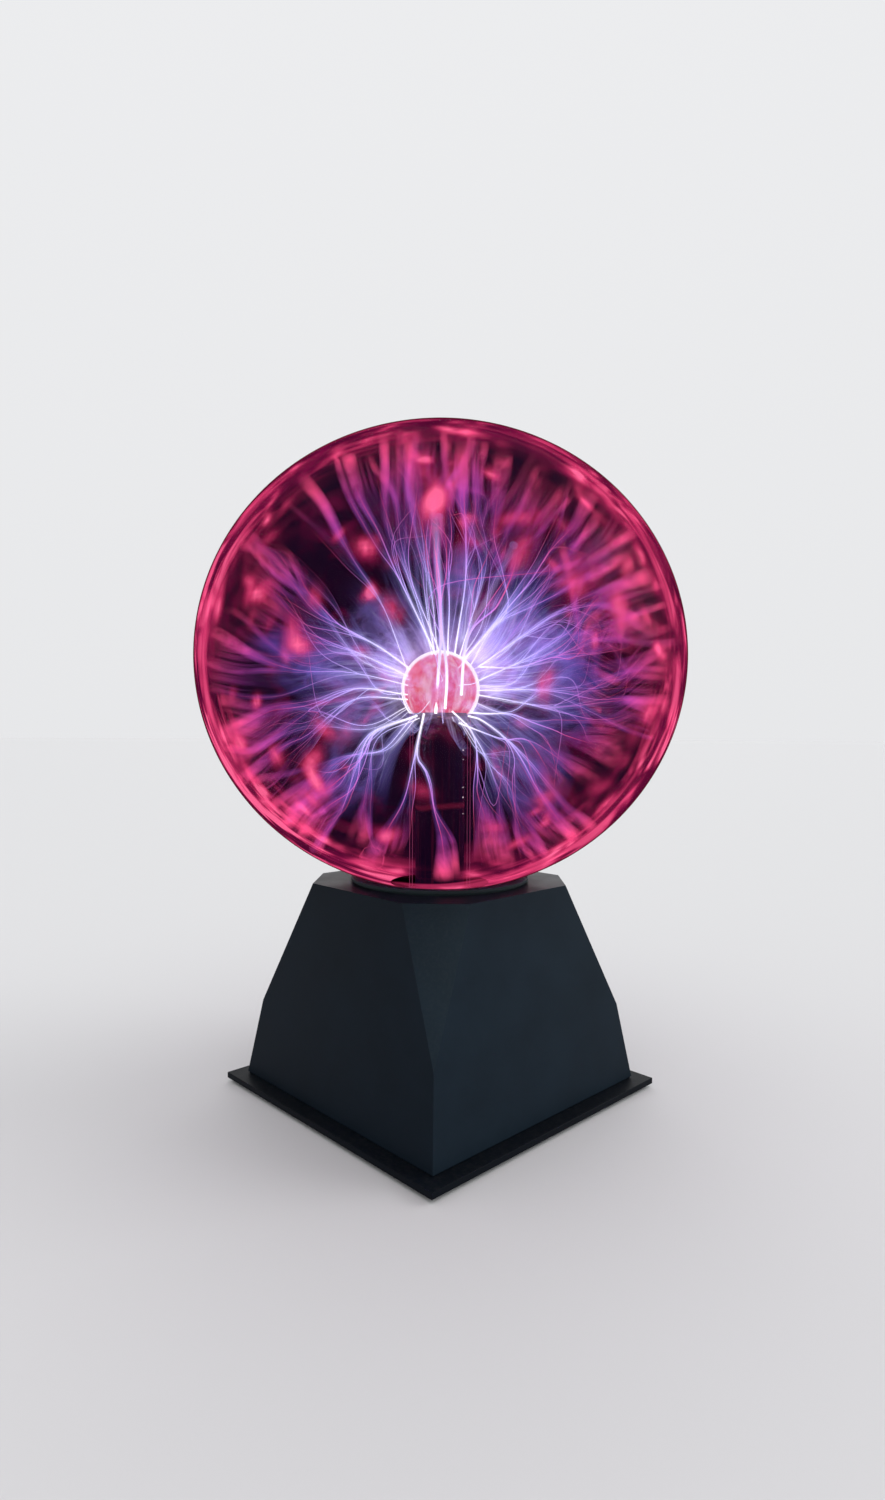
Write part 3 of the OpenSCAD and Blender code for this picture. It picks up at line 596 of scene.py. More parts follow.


# Streamers given one by one, seen from the front: offsets from the globe's middle in millimetres, first at
# the bulb and last at the wall, then the near or the far wall, strength, branches and fan width.
PLACED = {
    "wide_left": ([(-2, 3), (-13, 26), (-22, 46), (-32, 69), (-38, 90)], True, 1.1, 3, 0.4),
    "left_pair": ([(0, 3), (-12, 35), (-16, 59), (-19, 73), (-24, 90)], True, 0.9, 2, 0.4),
    "tall_white": ([(-2, -22), (-1, -6), (0, 14), (-2, 44), (-4, 69)], True, 1.7, 2, 0.10),
    "tall_white_twin": ([(2, -20), (3, -4), (3, 16), (1, 40), (-1, 62)], True, 1.5, 2, 0.14),
    "white_wedge": ([(9, -14), (10, 2), (13, 14), (22, 30), (31, 50)], True, 1.5, 3, 0.5),
    "tall_bend": ([(3, 3), (3, 27), (0, 52), (-2, 82)], False, 1.0, 2, 0.4),
    "ribbon": ([(6, 3), (9, 27), (11, 52), (11, 73), (11, 95)], True, 1.0, 3, 0.45),
    "ribbon_right": ([(8, 2), (15, 27), (17, 48), (12, 69), (14, 95)], False, 0.9, 3, 0.5),
    "high_node_up": ([(10, 1), (21, 14), (29, 25), (24, 52), (21, 93)], True, 0.9, 2, 0.5),
    "high_node_out": ([(10, 1), (21, 14), (29, 25), (42, 44), (53, 59), (61, 74)], True, 1.0, 4, 0.9),
    "low_node": ([(17, -2), (30, -2), (41, 1), (60, 10), (74, 23)], True, 1.0, 4, 1.2),
    "right_line": ([(16, -8), (43, 5), (68, 23), (91, 40)], True, 0.8, 4, 1.0),
    "right_level": ([(16, -12), (43, -12), (68, -16), (95, -17)], False, 0.9, 4, 1.1),
    "right_dip": ([(16, -14), (43, -18), (64, -21), (92, -11)], True, 0.9, 4, 1.2),
    "low_right_long": ([(13, -21.5), (20, -22), (33, -22), (47, -26), (57, -31), (76, -40)],
                       True, 1.1, 3, 0.9),
    "low_right_bend": ([(12, -23), (18, -25), (28, -33), (36, -43), (43, -54), (58, -78)], True, 1.2, 3, 0.9),
    "low_right_short": ([(8, -26), (21, -31), (28, -33), (38, -35), (51, -57)], True, 1.0, 3, 0.7),
    "stem_right": ([(5, -21), (13, -29), (16, -39), (18, -59), (22, -85)], True, 1.0, 3, 0.6),
    "stem_far_right": ([(11, -26), (18, -38), (24, -55), (34, -85)], False, 0.9, 4, 1.1),
    "left_rise": ([(-13, -3), (-30, 9), (-52, 22), (-76, 43)], True, 1.0, 4, 1.0),
    "left_long": ([(-14, -6), (-34, 3), (-60, 13), (-86, 26)], True, 0.9, 4, 1.1),
    "left_high": ([(-14, -4), (-26, 26), (-43, 50), (-55, 67), (-64, 77)], True, 0.9, 3, 0.45),
    "left_level": ([(-14, -10), (-39, -4), (-64, -2), (-97, 6)], False, 0.9, 4, 1.2),
    "left_sink": ([(-14, -14), (-34, -12), (-52, -19), (-75, -32), (-88, -38)], True, 0.9, 4, 1.1),
    "left_low": ([(-14, -16), (-37, -16), (-56, -31), (-64, -36), (-86, -55)], False, 0.9, 4, 1.1),
    "low_left": ([(-10, -23), (-28, -30), (-35, -40), (-48, -53), (-57, -64)], True, 1.3, 3, 0.7),
    "low_left_fork": ([(-10, -23), (-28, -30), (-35, -42), (-41, -55), (-52, -64), (-60, -79)],
                      True, 1.1, 4, 0.8),
    "low_left_deep": ([(-9, -24), (-26, -33), (-29, -55), (-32, -81)], False, 0.8, 3, 0.7),
    "stem_hook": ([(-7, -22), (-10, -39), (-6, -47), (-3, -59), (2, -94)], True, 1.2, 2, 0.35),
    "stem_left": ([(-7, -22), (-10, -38), (-12, -55), (-17, -69), (-22, -85)], True, 1.0, 2, 0.5),
    "high_right": ([(13, -1), (25, 18), (51, 35), (76, 52)], False, 0.9, 4, 1.2),
    "high_right_low": ([(16, -2), (34, 10), (59, 23), (89, 18)], False, 0.9, 4, 1.2),
}

# Broad ribbons given one by one: route as above, near or far wall, strength, and width at each end.
RIBBONS = [
    ([(-12, -2), (-30, 6), (-52, 14), (-78, 22)], True, 0.9, (12, 22)),
    ([(-13, -8), (-34, -4), (-58, -4), (-84, 2)], False, 0.9, (12, 26)),
    ([(-13, -12), (-34, -14), (-56, -22), (-80, -34)], True, 0.8, (9, 22)),
    ([(-10, -2), (-24, 18), (-42, 34), (-62, 52)], False, 0.7, (9, 20)),
    ([(-2, 3), (-12, 24), (-20, 44), (-30, 70)], False, 0.6, (8, 12)),
    ([(8, 3), (12, 26), (13, 48), (12, 76)], True, 1.0, (6, 11)),
    ([(12, 0), (24, 18), (40, 36), (60, 58)], True, 0.9, (10, 26)),
    ([(15, -4), (34, 8), (54, 18), (80, 28)], True, 1.0, (14, 30)),
    ([(16, -8), (38, -4), (60, 0), (86, 4)], False, 1.0, (14, 32)),
    ([(16, -12), (38, -14), (60, -18), (84, -24)], True, 1.0, (12, 28)),
    ([(14, -17), (30, -24), (46, -36), (66, -54)], False, 0.8, (9, 22)),
    ([(10, -21), (20, -36), (30, -54), (42, -74)], True, 0.8, (6, 18)),
    ([(-8, -21), (-20, -34), (-30, -52), (-38, -74)], True, 0.8, (6, 18)),
]

# Quiet places, seen from the front: across, up and radius in millimetres. The streamers added all round
# keep off them.
QUIET = [(-38, 58, 17), (-11, 20, 7), (-25, -64, 15), (41, -30, 8), (69, -50, 14), (-86, 18, 12),
         (0, -60, 13)]

# Soft haze round the bulb: across, up and toward the front, then the half sizes, then the strength.
HAZE = [
    ((3, -4, 0), (31, 25, 31), 0.8), ((3, -9, 0), (24, 19, 24), 0.9), ((-16, 2, 0), (15, 15, 18), 1.0),
    ((20, 2, 0), (17, 16, 18), 0.9), ((36, 2, 4), (33, 22, 30), 1.0), ((28, 12, -6), (24, 20, 26), 0.8),
    ((44, -6, 0), (30, 14, 26), 0.8), ((40, -24, 4), (26, 12, 24), 0.6), ((-40, -6, 4), (32, 14, 28), 0.9),
    ((-58, 6, 0), (26, 12, 24), 0.6), ((-24, 12, 0), (18, 20, 24), 0.6), ((-34, -24, 0), (22, 12, 22), 0.6),
    ((-36, -46, 0), (18, 22, 22), 0.55), ((38, -46, 0), (20, 22, 22), 0.6), ((8, 24, 0), (9, 28, 16), 0.7),
    ((0, 6, -34), (30, 24, 30), 0.6), ((6, -10, 34), (20, 14, 24), 0.25),
]

# Small feet given one by one: across, up, near or far wall, strength.
SPOTS = [
    (-32, 46, True, 1.2), (-30, 28, False, 1.2), (-62, 13, True, 0.9), (54, 32, True, 1.2),
    (-67, -40, True, 1.2), (-82, -34, True, 1.0), (-77, -17, False, 1.2), (-51, -50, True, 1.1),
    (-75, -53, False, 1.2), (-57, -68, True, 1.2), (69, -58, True, 1.2), (86, -20, True, 1.1),
    (91, 6, False, 1.2), (77, 40, True, 1.1), (60, 66, False, 1.2), (44, -56, True, 0.9),
    (22, 78, False, 1.1), (-8, 84, False, 0.9), (-92, 22, True, 1.0), (34, 58, True, 0.9),
    (-20, -72, True, 1.1), (14, -88, True, 1.1), (48, -78, True, 1.2), (-40, -86, True, 1.0),
]

# How bright the rim is, going round anticlockwise from the right as seen from the front: degrees, level.
RIM_LEVELS = [(0, 1.0), (20, 0.8), (45, 0.55), (70, 0.32), (90, 0.28), (110, 0.30), (135, 0.42), (160, 0.6),
              (180, 0.9), (205, 0.85), (225, 1.0), (250, 0.75), (270, 0.5), (290, 0.7), (315, 1.0),
              (340, 1.0), (360, 1.0)]

# The faint red ring painted on the sleeve as a reflection of the discharge: its height from the globe's
# middle.
RING_UP = -61.0

# Painted glints down the stem, small glowing beads in place of reflections: height from the globe's middle
# and half size.
GLINTS = [(-37.5, 0.42), (-41.4, 0.25), (-53.0, 0.32), (-57.2, 0.40), (-64.0, 0.25)]
GLINT_ACROSS = 9.6
GLINT_TOWARD = 9.6


class Discharge:
    """Every path, curtain and foot of the discharge, in millimetres."""

    LOWEST_STREAMER = -0.86     # aims lower than this would run into the neck
    LOWEST_RIBBON = -0.6        # and so would ribbons
    LOWEST_SPOT = -0.85         # and small feet
    LOWEST_START = -0.72        # a streamer leaves the bulb above the stem
    RISE = 5.0                  # how far a level streamer bends upwards
    SKIPPED = 0.12              # share of the even places that stay empty
    HOT_POWER = 0.95            # placed streamers stronger than this are white-hot
    TWIN_GLOW = 1.4             # and those stronger than this get a second glow
    FOOT_LIMIT = 0.9            # strongest foot of a streamer
    SIDE_SHARE = 0.7            # how strong a side branch is beside the main one
    SIDE_HEAT = 0.6             # and how hot
    SPLIT = (0.12, 0.5)         # where along a streamer its branches may leave it
    FREE_POWER = (0.35, 0.8)    # strength, branches and spread of the streamers added all round
    FREE_BRANCHES = (3, 6)
    FREE_SPREAD = (0.6, 1.5)
    THREAD_START = (0.2, 0.6)   # where along a filament a thread may leave it
    THREAD_TURN = 0.42          # how far it may turn away

    def __init__(self):
        self.look = settings("plasma_discharge")
        self.rng = np.random.default_rng(self.look.seed)
        self.view = View()
        self.cores, self.halos, self.curtains, self.feet = [], [], [], []
        for points, front, power, branches, spread in PLACED.values():
            self.bundle(self.view.route(points, front), power, branches, spread, placed=True)
        self.threads()
        for points, front, power, widths in RIBBONS:
            self.ribbon(self.view.route(points, front), power, *widths, 0.8)
        self.fill()
        for _ in range(self.look.ribbons):
            aim = unit(self.rng.normal(0, 1, 3) + np.array([0, 0, 0.25]))
            if aim[2] < self.LOWEST_RIBBON:
                continue
            path = self.free_path(aim)
            if not self.in_quiet(path):
                self.ribbon(path, self.rng.uniform(0.4, 1.0), self.rng.uniform(6, 14),
                            self.rng.uniform(10, 24), self.rng.uniform(0.4, 0.8))
        self.scatter_spots()

    def random_way(self):
        """A direction drawn evenly from all round."""
        return unit(self.rng.normal(0, 1, 3))

    def scatter_spots(self):
        """Small feet of faint streamers: the placed ones, then more here and there on the wall."""
        for across, up, front, power in SPOTS:
            spot = self.view.route([(across * 0.9, up * 0.9), (across, up)], front)[-1]
            self.feet.append((to_wall(spot), self.random_way(), power))
        for _ in range(self.look.spots):
            aim = self.random_way()
            if aim[2] > self.LOWEST_SPOT:
                side = unit(np.cross(aim, self.rng.normal(0, 1, 3)))
                self.feet.append((on_wall(aim), side, self.rng.uniform(0.5, 1.2)))

    def free_path(self, aim):
        """A path from the bulb to the wall, bent upwards as the warm gas rises."""
        foot = on_wall(aim)
        lift = np.array([0, 0, self.RISE * math.hypot(aim[0], aim[1])])
        near = unit(aim + np.array([0, 0, -0.16]))
        if near[2] < self.LOWEST_START:
            near = unit(np.array([near[0], near[1], self.LOWEST_START]))
        start = BULB + near * BULB_R
        return [start, BULB + near * (BULB_R + 20) + lift * 0.2, 0.45 * start + 0.55 * foot + lift, foot]

    def fill(self):
        """Streamers all round, evenly spaced with some jitter, bent upwards as the warm gas rises."""
        total = self.look.streamers
        golden = math.pi * (3 - math.sqrt(5))
        for i in range(total):
            height = 1 - 2 * (i + 0.5) / total
            turn = golden * i + self.rng.uniform(-0.25, 0.25)
            flat = math.sqrt(1 - height * height)
            aim = unit(np.array([flat * math.cos(turn), flat * math.sin(turn), height])
                       + self.rng.normal(0, 0.16, 3))
            if aim[2] < self.LOWEST_STREAMER or self.rng.uniform() < self.SKIPPED:
                continue
            path = self.free_path(aim)
            if self.in_quiet(path):
                continue
            power, branches = self.rng.uniform(*self.FREE_POWER), int(self.rng.integers(*self.FREE_BRANCHES))
            self.bundle(path, power, branches, self.rng.uniform(*self.FREE_SPREAD))

    def threads(self):
        """Thin threads that leave a filament halfway and cross over to another place on the wall."""
        trunks = list(self.cores)
        for _ in range(self.look.threads):
            trunk, t, power, _ = trunks[int(self.rng.integers(len(trunks)))]
            at = int(self.rng.uniform(*self.THREAD_START) * len(trunk))
            start = trunk[at]
            ahead = unit(trunk[-1] - start)
            foot = to_wall(start + (ahead + self.rng.normal(0, self.THREAD_TURN, 3)) * GLOBE_RW)
            path = [start, start + ahead * np.linalg.norm(foot - start) * 0.3 + self.rng.normal(0, 1.5, 3),
                    0.35 * start + 0.65 * foot + self.rng.normal(0, 4.0, 3), foot]
            if foot[2] < GLOBE_Z - 0.9 * GLOBE_RH or self.in_quiet(path):
                continue
            line = kept_inside(smooth_path(path, self.look.steps))
            along = t[at] + (1 - t[at]) * t
            heat = self.rng.uniform(0.3, 1.0)
            self.cores.append((line, along, power * self.rng.uniform(0.6, 1.0), heat))
            if self.rng.uniform() < 0.4:
                self.halos.append((line, along, power * 0.6, self.rng.uniform(0.0, 1.0)))
            side = self.random_way()
            self.feet.append((line[-1], side, min(power, self.FOOT_LIMIT) * self.rng.uniform(0.3, 0.8)))

    def in_quiet(self, path):
        """True if the outer part of a path crosses a quiet place, as seen from the front."""
        for point in smooth_path(path, 12)[4:]:
            offset = point - self.view.eye
            depth = -(offset @ self.view.toward)
            share = (self.view.eye @ self.view.toward) / depth
            seen = self.view.eye + offset * share
            across, up = seen @ self.view.across, seen[2] - GLOBE_Z
            for x, y, radius in QUIET:
                if math.hypot(across - x, up - y) < radius:
                    return True
        return False

    def bundle(self, points, power, branches, spread, placed=False):
        """A main filament, the branches that leave it, the curtains between them and their feet."""
        rng, look = self.rng, self.look
        steps = look.steps
        main = smooth_path(points, steps)
        t = np.linspace(0, 1, steps)
        main = kept_inside(main + wander(rng, steps, 1.0 if placed else 2.6) * ease((1 - t) * 4)[:, None])
        heat = rng.uniform(0.35, 0.7) if placed else rng.uniform(0.05, 0.45)
        if placed and power > self.HOT_POWER:
            heat = 1.0 + 2.0 * max(power - 1.1, 0.0)
        way = unit(main[-1] - main[0])
        side = unit(np.cross(way, rng.normal(0, 1, 3)))
        if placed:
            side = unit(np.cross(way, self.view.toward) + rng.normal(0, 0.25, 3))
        other = np.cross(way, side)
        width = spread * look.spread / MM
        lines = []
        for k in range(branches):
            place = (k - (branches - 1) / 2) / max(branches - 1, 1) * 2
            split = rng.uniform(*self.SPLIT)
            apart = ease((t - split) / (1 - split)) * rng.uniform(0.8, 1.1)
            offset = side * place * width + other * rng.normal(0, 0.3) * width
            line = main + apart[:, None] * offset + wander(rng, steps, 1.5, 4) * ease(apart * 2)[:, None]
            line = kept_inside(line)
            line[-1] = to_wall(line[-1])
            lines.append(line)
            main_line = k == branches // 2
            strength = power * rng.uniform(0.6, 1.0) * (1.0 if main_line else self.SIDE_SHARE)
            self.cores.append((line, t, strength, heat * (1.0 if main_line else self.SIDE_HEAT)))
            if main_line or rng.uniform() < 0.5:
                off_axis = abs(line[-1] @ self.view.toward) < 0.7 * GLOBE_RW
                flare = rng.uniform(0.9, 2.6) if placed and main_line and off_axis else rng.uniform(0.0, 1.0)
                self.halos.append((line, t, strength * rng.uniform(0.6, 1.0), flare))
            self.feet.append((line[-1], side, min(strength, self.FOOT_LIMIT)
                              * rng.uniform(0.6, 0.95 if placed else 1.2)))
        if placed and power > self.TWIN_GLOW:
            self.halos.append((main, t * 0.45, power * 1.5, 0.0))
        for a, b in zip(lines, lines[1:]):
            self.curtains.append((a, b, power * rng.uniform(0.4, 0.9), float(rng.uniform(0, 100)), 1.0))

    def ribbon(self, points, power, start_width, end_width, reach):
        """A broad ribbon of gas that leaves the bulb already wide, and fades out on its way."""
        rng, steps = self.rng, self.look.steps
        main = smooth_path(points, steps)
        t = np.linspace(0, 1, steps)
        main = kept_inside(main + wander(rng, steps, 2.0))
        way = unit(main[-1] - main[0])
        side = unit(np.cross(way, rng.normal(0, 1, 3)))
        other = np.cross(way, side)
        twist = rng.uniform(-1.2, 1.2) * t[:, None]
        half = (start_width + (end_width - start_width) * ease(t))[:, None] / 2
        offset = half * (side * np.cos(twist) + other * np.sin(twist))
        keep = max(int(steps * reach), 4)
        a, b = kept_inside(main - offset)[:keep], kept_inside(main + offset)[:keep]
        self.curtains.append((a, b, power, float(rng.uniform(0, 100)), reach))


def tube_tree():
    """Geometry nodes: round tubes along loose edges, as thick as the edges' own values."""
    tree = bpy.data.node_groups.new("Tubes along paths", "GeometryNodeTree")
    for name, kind in (("Geometry", "NodeSocketGeometry"), ("Sides", "NodeSocketInt"),
                       ("Thickness", "NodeSocketFloat"), ("Material", "NodeSocketMaterial")):
        tree.interface.new_socket(name, in_out="INPUT", socket_type=kind)
    tree.interface.new_socket("Geometry", in_out="OUTPUT", socket_type="NodeSocketGeometry")
    given, out = tree.nodes.new("NodeGroupInput"), tree.nodes.new("NodeGroupOutput")
    thick = put(tree, "GeometryNodeInputNamedAttribute", {"Name": "thick"}, data_type="FLOAT").outputs[0]
    scale = calc(tree, "MULTIPLY", thick, given.outputs["Thickness"])
    line = put(tree, "GeometryNodeMeshToCurve", {"Mesh": given.outputs["Geometry"]}).outputs[0]
    ring = put(tree, "GeometryNodeCurvePrimitiveCircle",
               {"Resolution": given.outputs["Sides"], "Radius": 1.0}).outputs[0]
    tube = put(tree, "GeometryNodeCurveToMesh",
               {"Curve": line, "Profile Curve": ring, "Scale": scale, "Fill Caps": True}).outputs[0]
    smooth = put(tree, "GeometryNodeSetShadeSmooth", {"Geometry": tube}).outputs[0]
    whole = put(tree, "GeometryNodeRealizeInstances", {"Geometry": smooth}).outputs[0]
    finish = put(tree, "GeometryNodeSetMaterial",
                 {"Geometry": whole, "Material": given.outputs["Material"]}).outputs[0]
    feed(tree, out.inputs["Geometry"], finish)
    return tree


def run_tree(source, tree, name, values):
    """Applies a geometry nodes tree to source with its inputs set, and returns the plain result."""
    modifier = source.modifiers.new(name, "NODES")
    modifier.node_group = tree
    for item in tree.interface.items_tree:
        if item.in_out == "INPUT" and item.name in values:
            modifier[item.identifier] = values[item.name]
    return finished(source, name)


def core_thickness(t, heat):
    """A filament's thickness along its way: thinner outwards, and thicker where it is hot."""
    return (0.3 + 0.7 * (1 - t) ** 1.3) * (0.25 + 0.75 * heat)


def halo_thickness(t, flare):
    """A halo's thickness along its way: wider from the bulb on, and flared at the wall."""
    return 0.5 + 0.5 * ease(t * 3) + flare * ease((t - 0.6) / 0.4)


def tubes(name, paths, material, sides, thickness, thick):
    """Tubes along (points, along, power, heat or flare) paths. thick gives the share of the thickness."""
    verts, edges, values = [], [], {"along": [], "power": [], "heat": [], "thick": []}
    for points, t, power, heat in paths:
        start = len(verts)
        verts.extend(points * MM)
        edges.extend((start + i, start + i + 1) for i in range(len(points) - 1))
        values["along"].extend(t)
        values["power"].extend([power] * len(t))
        values["heat"].extend([heat] * len(t))
        values["thick"].extend(thick(t, heat))
    source = add_object(name + "_paths", verts, [], edges=edges)
    add_values(source, values)
    tree = bpy.data.node_groups.get("Tubes along paths") or tube_tree()
    return run_tree(source, tree, name, {"Sides": sides, "Thickness": thickness, "Material": material})


def dark_shader(name, base=BLACK, rough=1.0, specular=0.0, strength=1.0):
    """A material that is dark itself and gets its look from its own light, which doesn't light others."""
    material, shader = new_material(name)
    shader.inputs["Base Color"].default_value = (*base, 1.0)
    shader.inputs["Roughness"].default_value = rough
    shader.inputs["Specular IOR Level"].default_value = specular
    shader.inputs["Emission Strength"].default_value = strength
    material.cycles.emission_sampling = "NONE"
    return material, shader, material.node_tree


def glow_material(name, emission, alpha, strength=1.0, rough=1.0, specular=0.0):
    """A glowing gas: black itself, as clear as alpha says, and lit by its own colour."""
    material, shader, tree = dark_shader(name, BLACK, rough, specular, strength)
    feed(tree, shader.inputs["Emission Color"], emission(tree))
    feed(tree, shader.inputs["Alpha"], alpha(tree))
    material.surface_render_method = "BLENDED"
    material.diffuse_color = (0.9, 0.35, 0.6, 1.0)
    return material


def core_material():
    """Filaments: white-hot at the bulb, the hotter the farther out, then lilac, then pink."""
    look = settings("plasma_discharge")

    def emission(tree):
        cooled = times(tree, less(tree, 1.0, attribute(tree, "heat")), 0.22)
        return ramp(tree, plus(tree, attribute(tree, "along"), cooled),
                    [(0.0, look.hot), (0.22, (0.90, 0.84, 1.0)), (0.48, (0.48, 0.42, 0.95)),
                     (0.72, (0.50, 0.20, 0.74)), (0.95, look.pink)])

    def alpha(tree):
        shown = remap(tree, attribute(tree, "along"), 0.08, 0.88, 0.95, 0.0)
        return times(tree, attribute(tree, "power"), shown, clamp=True)

    return glow_material("filament_glow", emission, alpha, 1.8)


def halo_material():
    """The soft glow round a filament, with torn ends at the wall."""
    look = settings("plasma_discharge")

    def emission(tree):
        return ramp(tree, attribute(tree, "along"),
                    [(0.0, look.hot), (0.01, look.hot), (0.28, look.lilac), (0.55, look.violet),
                     (0.78, look.purple), (0.95, look.pink)])

    def alpha(tree):
        soft = calc(tree, "POWER", less(tree, 1.0, facing(tree)), 2.2)
        along = attribute(tree, "along")
        torn = noise(tree, object_coordinates(tree), 62.0, 3.0, 0.6, 0.7)
        torn = remap(tree, torn, 0.42, 0.60, 0.18, 1.6)
        ends = plus(tree, remap(tree, along, 0.0, 0.4, 0.22, 0.09),
                    times(tree, remap(tree, along, 0.6, 0.93, 0.0, 0.38), torn))
        shown = times(tree, ends, fade(tree, along, 0.95, 1.0, 1.0, 0.0))
        return times(tree, soft, shown, times(tree, attribute(tree, "power"), 0.5), clamp=True)

    return glow_material("halo_glow", emission, alpha, 2.8)


def curtain_material():
    """Sheets of gas between the filaments: fine lines on a haze, and a pink fan near the wall."""
    look = settings("plasma_discharge")

    def lines(tree):
        place = put(tree, "ShaderNodeUVMap", None, uv_map="UVMap").outputs[0]
        flow = noise(tree, stretched(tree, place, (3.4, 1.5, 1.0)), 1.0, 2.0, 0.55, 0.3)
        off = times(tree, calc(tree, "ABSOLUTE", less(tree, flow, 0.5)), 9.0)
        return calc(tree, "POWER", calc(tree, "SUBTRACT", 1.0, off, clamp=True), 3.0), flow

    def alpha(tree):
        along, edge, power = (attribute(tree, key) for key in ("along", "edge", "power"))
        ridge, flow = lines(tree)
        sheet = times(tree, remap(tree, flow, 0.3, 0.75, 0.15, 1.0),
                      plus(tree, remap(tree, along, 0.0, 0.32, 0.35, 0.0),
                           remap(tree, along, 0.0, 0.72, 0.52, 0.03)))
        fine = times(tree, ridge, remap(tree, along, 0.1, 0.85, 0.26, 0.0))
        fan = times(tree, fade(tree, along, 0.66, 0.88, 0.0, 0.30), fade(tree, flow, 0.40, 0.66),
                    fade(tree, along, 0.86, 0.99, 1.0, 0.0))
        near = remap(tree, along, 0.02, 0.10)
        return times(tree, plus(tree, sheet, fine, fan), times(tree, edge, power), 0.5, near, clamp=True)

    def emission(tree):
        ridge, _ = lines(tree)
        along = attribute(tree, "along")
        body = ramp(tree, along, [(0.0, (0.66, 0.58, 0.95)), (0.22, (0.32, 0.28, 0.86)),
                                  (0.55, look.violet), (0.78, look.purple), (0.95, look.pink)])
        pale = times(tree, ridge, remap(tree, along, 0.3, 0.8, 0.55, 0.0))
        return blend(tree, pale, body, (0.75, 0.72, 1.0))

    return glow_material("curtain_glow", emission, alpha, 2.9)


def curtain_mesh(curtains, material):
    """Thin curtains of glowing gas between neighbouring filaments."""
    across = 8
    verts, faces, uvs, values = [], [], [], {"along": [], "edge": [], "power": []}
    for a, b, power, offset, reach in curtains:
        rows = len(a)
        fading = reach < 1
        start = len(verts)
        for i in range(rows):
            t = i / (rows - 1)
            gap = np.linalg.norm(a[i] - b[i])
            for j in range(across + 1):
                u = j / across
                verts.append((a[i] * (1 - u) + b[i] * u) * MM)
                values["along"].append(t * (0.72 if fading else 1.0))
                values["edge"].append((4 * u * (1 - u)) ** 0.8 if fading
                                      else min(1.0, 4 * u * (1 - u) + 0.35) * min(1.0, gap / 1.2))
                values["power"].append(power * float(ease(np.array((1 - t) * 2.2)) if fading else 1.0))
                uvs.append((u * gap * 0.11 + offset, t * (0.7 if fading else 1.0)))
        faces += grid_faces(start, rows, across)
    made = add_object("discharge_curtains", verts, faces, material)
    add_values(made, values)
    layer = made.data.uv_layers.new(name="UVMap")
    corner = np.empty(len(made.data.loops), dtype=np.int32)
    made.data.loops.foreach_get("vertex_index", corner)
    layer.data.foreach_set("uv", np.array(uvs, dtype=np.float32)[corner].ravel())
    return made


def ball(turns, rows):
    """Points on a ball of radius 1, from its foot to its top, and the faces between them."""
    points = [(0.0, 0.0, -1.0)]
    for i in range(1, rows):
        low = math.pi * (i / rows - 0.5)
        points += [(math.cos(low) * math.cos(2 * math.pi * j / turns),
                    math.cos(low) * math.sin(2 * math.pi * j / turns), math.sin(low)) for j in range(turns)]
    points.append((0.0, 0.0, 1.0))
    last = len(points) - 1
    faces = []
    for j in range(turns):
        n = (j + 1) % turns
        faces += [(0, 1 + j, 1 + n), (last, last - turns + n, last - turns + j)]
        faces += [(at + j, at + turns + j, at + turns + n, at + n)
                  for at in range(1, 1 + (rows - 2) * turns, turns)]
    return points, faces


def haze_mesh(view, material):
    """Soft round puffs of haze, in one mesh."""
    points, ball_faces = ball(32, 20)
    verts, faces, power = [], [], []
    for place, (wide, high, deep), strength in HAZE:
        middle, start = view.spot(*place), len(verts)
        for x, y, z in points:
            point = middle + x * wide * view.across + y * deep * view.toward + np.array([0, 0, z * high])
            verts.append(kept_inside(point[None])[0] * MM)
            power.append(strength)
        faces += [[start + corner for corner in face] for face in ball_faces]
    made = add_object("haze", verts, faces, material)
    add_values(made, {"power": power})
    return made


def haze_material():
    """Haze that is densest at its middle, with faint rays that run out from the bulb."""
    def from_bulb(tree):
        return vector_math(tree, "SUBTRACT", object_coordinates(tree), (0.0, 0.0, BULB_Z * MM)).outputs[0]

    def alpha(tree):
        soft = calc(tree, "POWER", less(tree, 1.0, facing(tree)), 1.8)
        way = vector_math(tree, "NORMALIZE", from_bulb(tree)).outputs[0]
        rays = fade(tree, noise(tree, way, 5.5, 3.0, 0.6, 0.4), 0.36, 0.66, 0.10, 1.0)
        above = fade(tree, height_of(tree, way), -0.92, -0.70)
        return times(tree, soft, above, rays, times(tree, attribute(tree, "power"), 0.20))

    def emission(tree):
        far = vector_math(tree, "LENGTH", from_bulb(tree)).outputs["Value"]
        return ramp(tree, remap(tree, far, 0.014, 0.070),
                    [(0.0, (0.98, 0.66, 1.0)), (0.3, (0.46, 0.32, 0.88)), (1.0, (0.15, 0.09, 0.58))])

    return glow_material("haze_glow", emission, alpha, 2.2)


def wall_mesh(name, inset, material, inwards):
    """The globe's outside less an inset, from the neck to the top."""
    rw, rh = GLOBE_RW - inset, GLOBE_RH - inset
    start = math.asin(-math.sqrt(1 - (NECK_R / rw) ** 2))
    made = lathe(name, dome(rw, rh, GLOBE_Z, start, 150), 256, material)
    if inwards:
        made.data.flip_normals()
    return made


def foot_values(made, feet, size):
    """How strongly each vertex of the wall glows from the feet near it."""
    place = vertex_places(made)
    total = np.zeros(len(place))
    for foot, side, power in feet:
        offset = place - foot
        along = offset @ side
        rest = np.linalg.norm(offset, axis=1) ** 2 - along ** 2
        total += power * np.exp(-0.5 * (along / (size * 0.75)) ** 2 - 0.5 * rest / (size * 1.25) ** 2)
    return total


def rim_values(made, view):
    """How bright the rim is at each vertex of the wall."""
    angles, levels = zip(*RIM_LEVELS)
    offset = vertex_places(made) - MIDDLE
    turn = np.degrees(np.arctan2(offset[:, 2], offset @ view.across)) % 360
    return np.interp(turn, angles, levels)


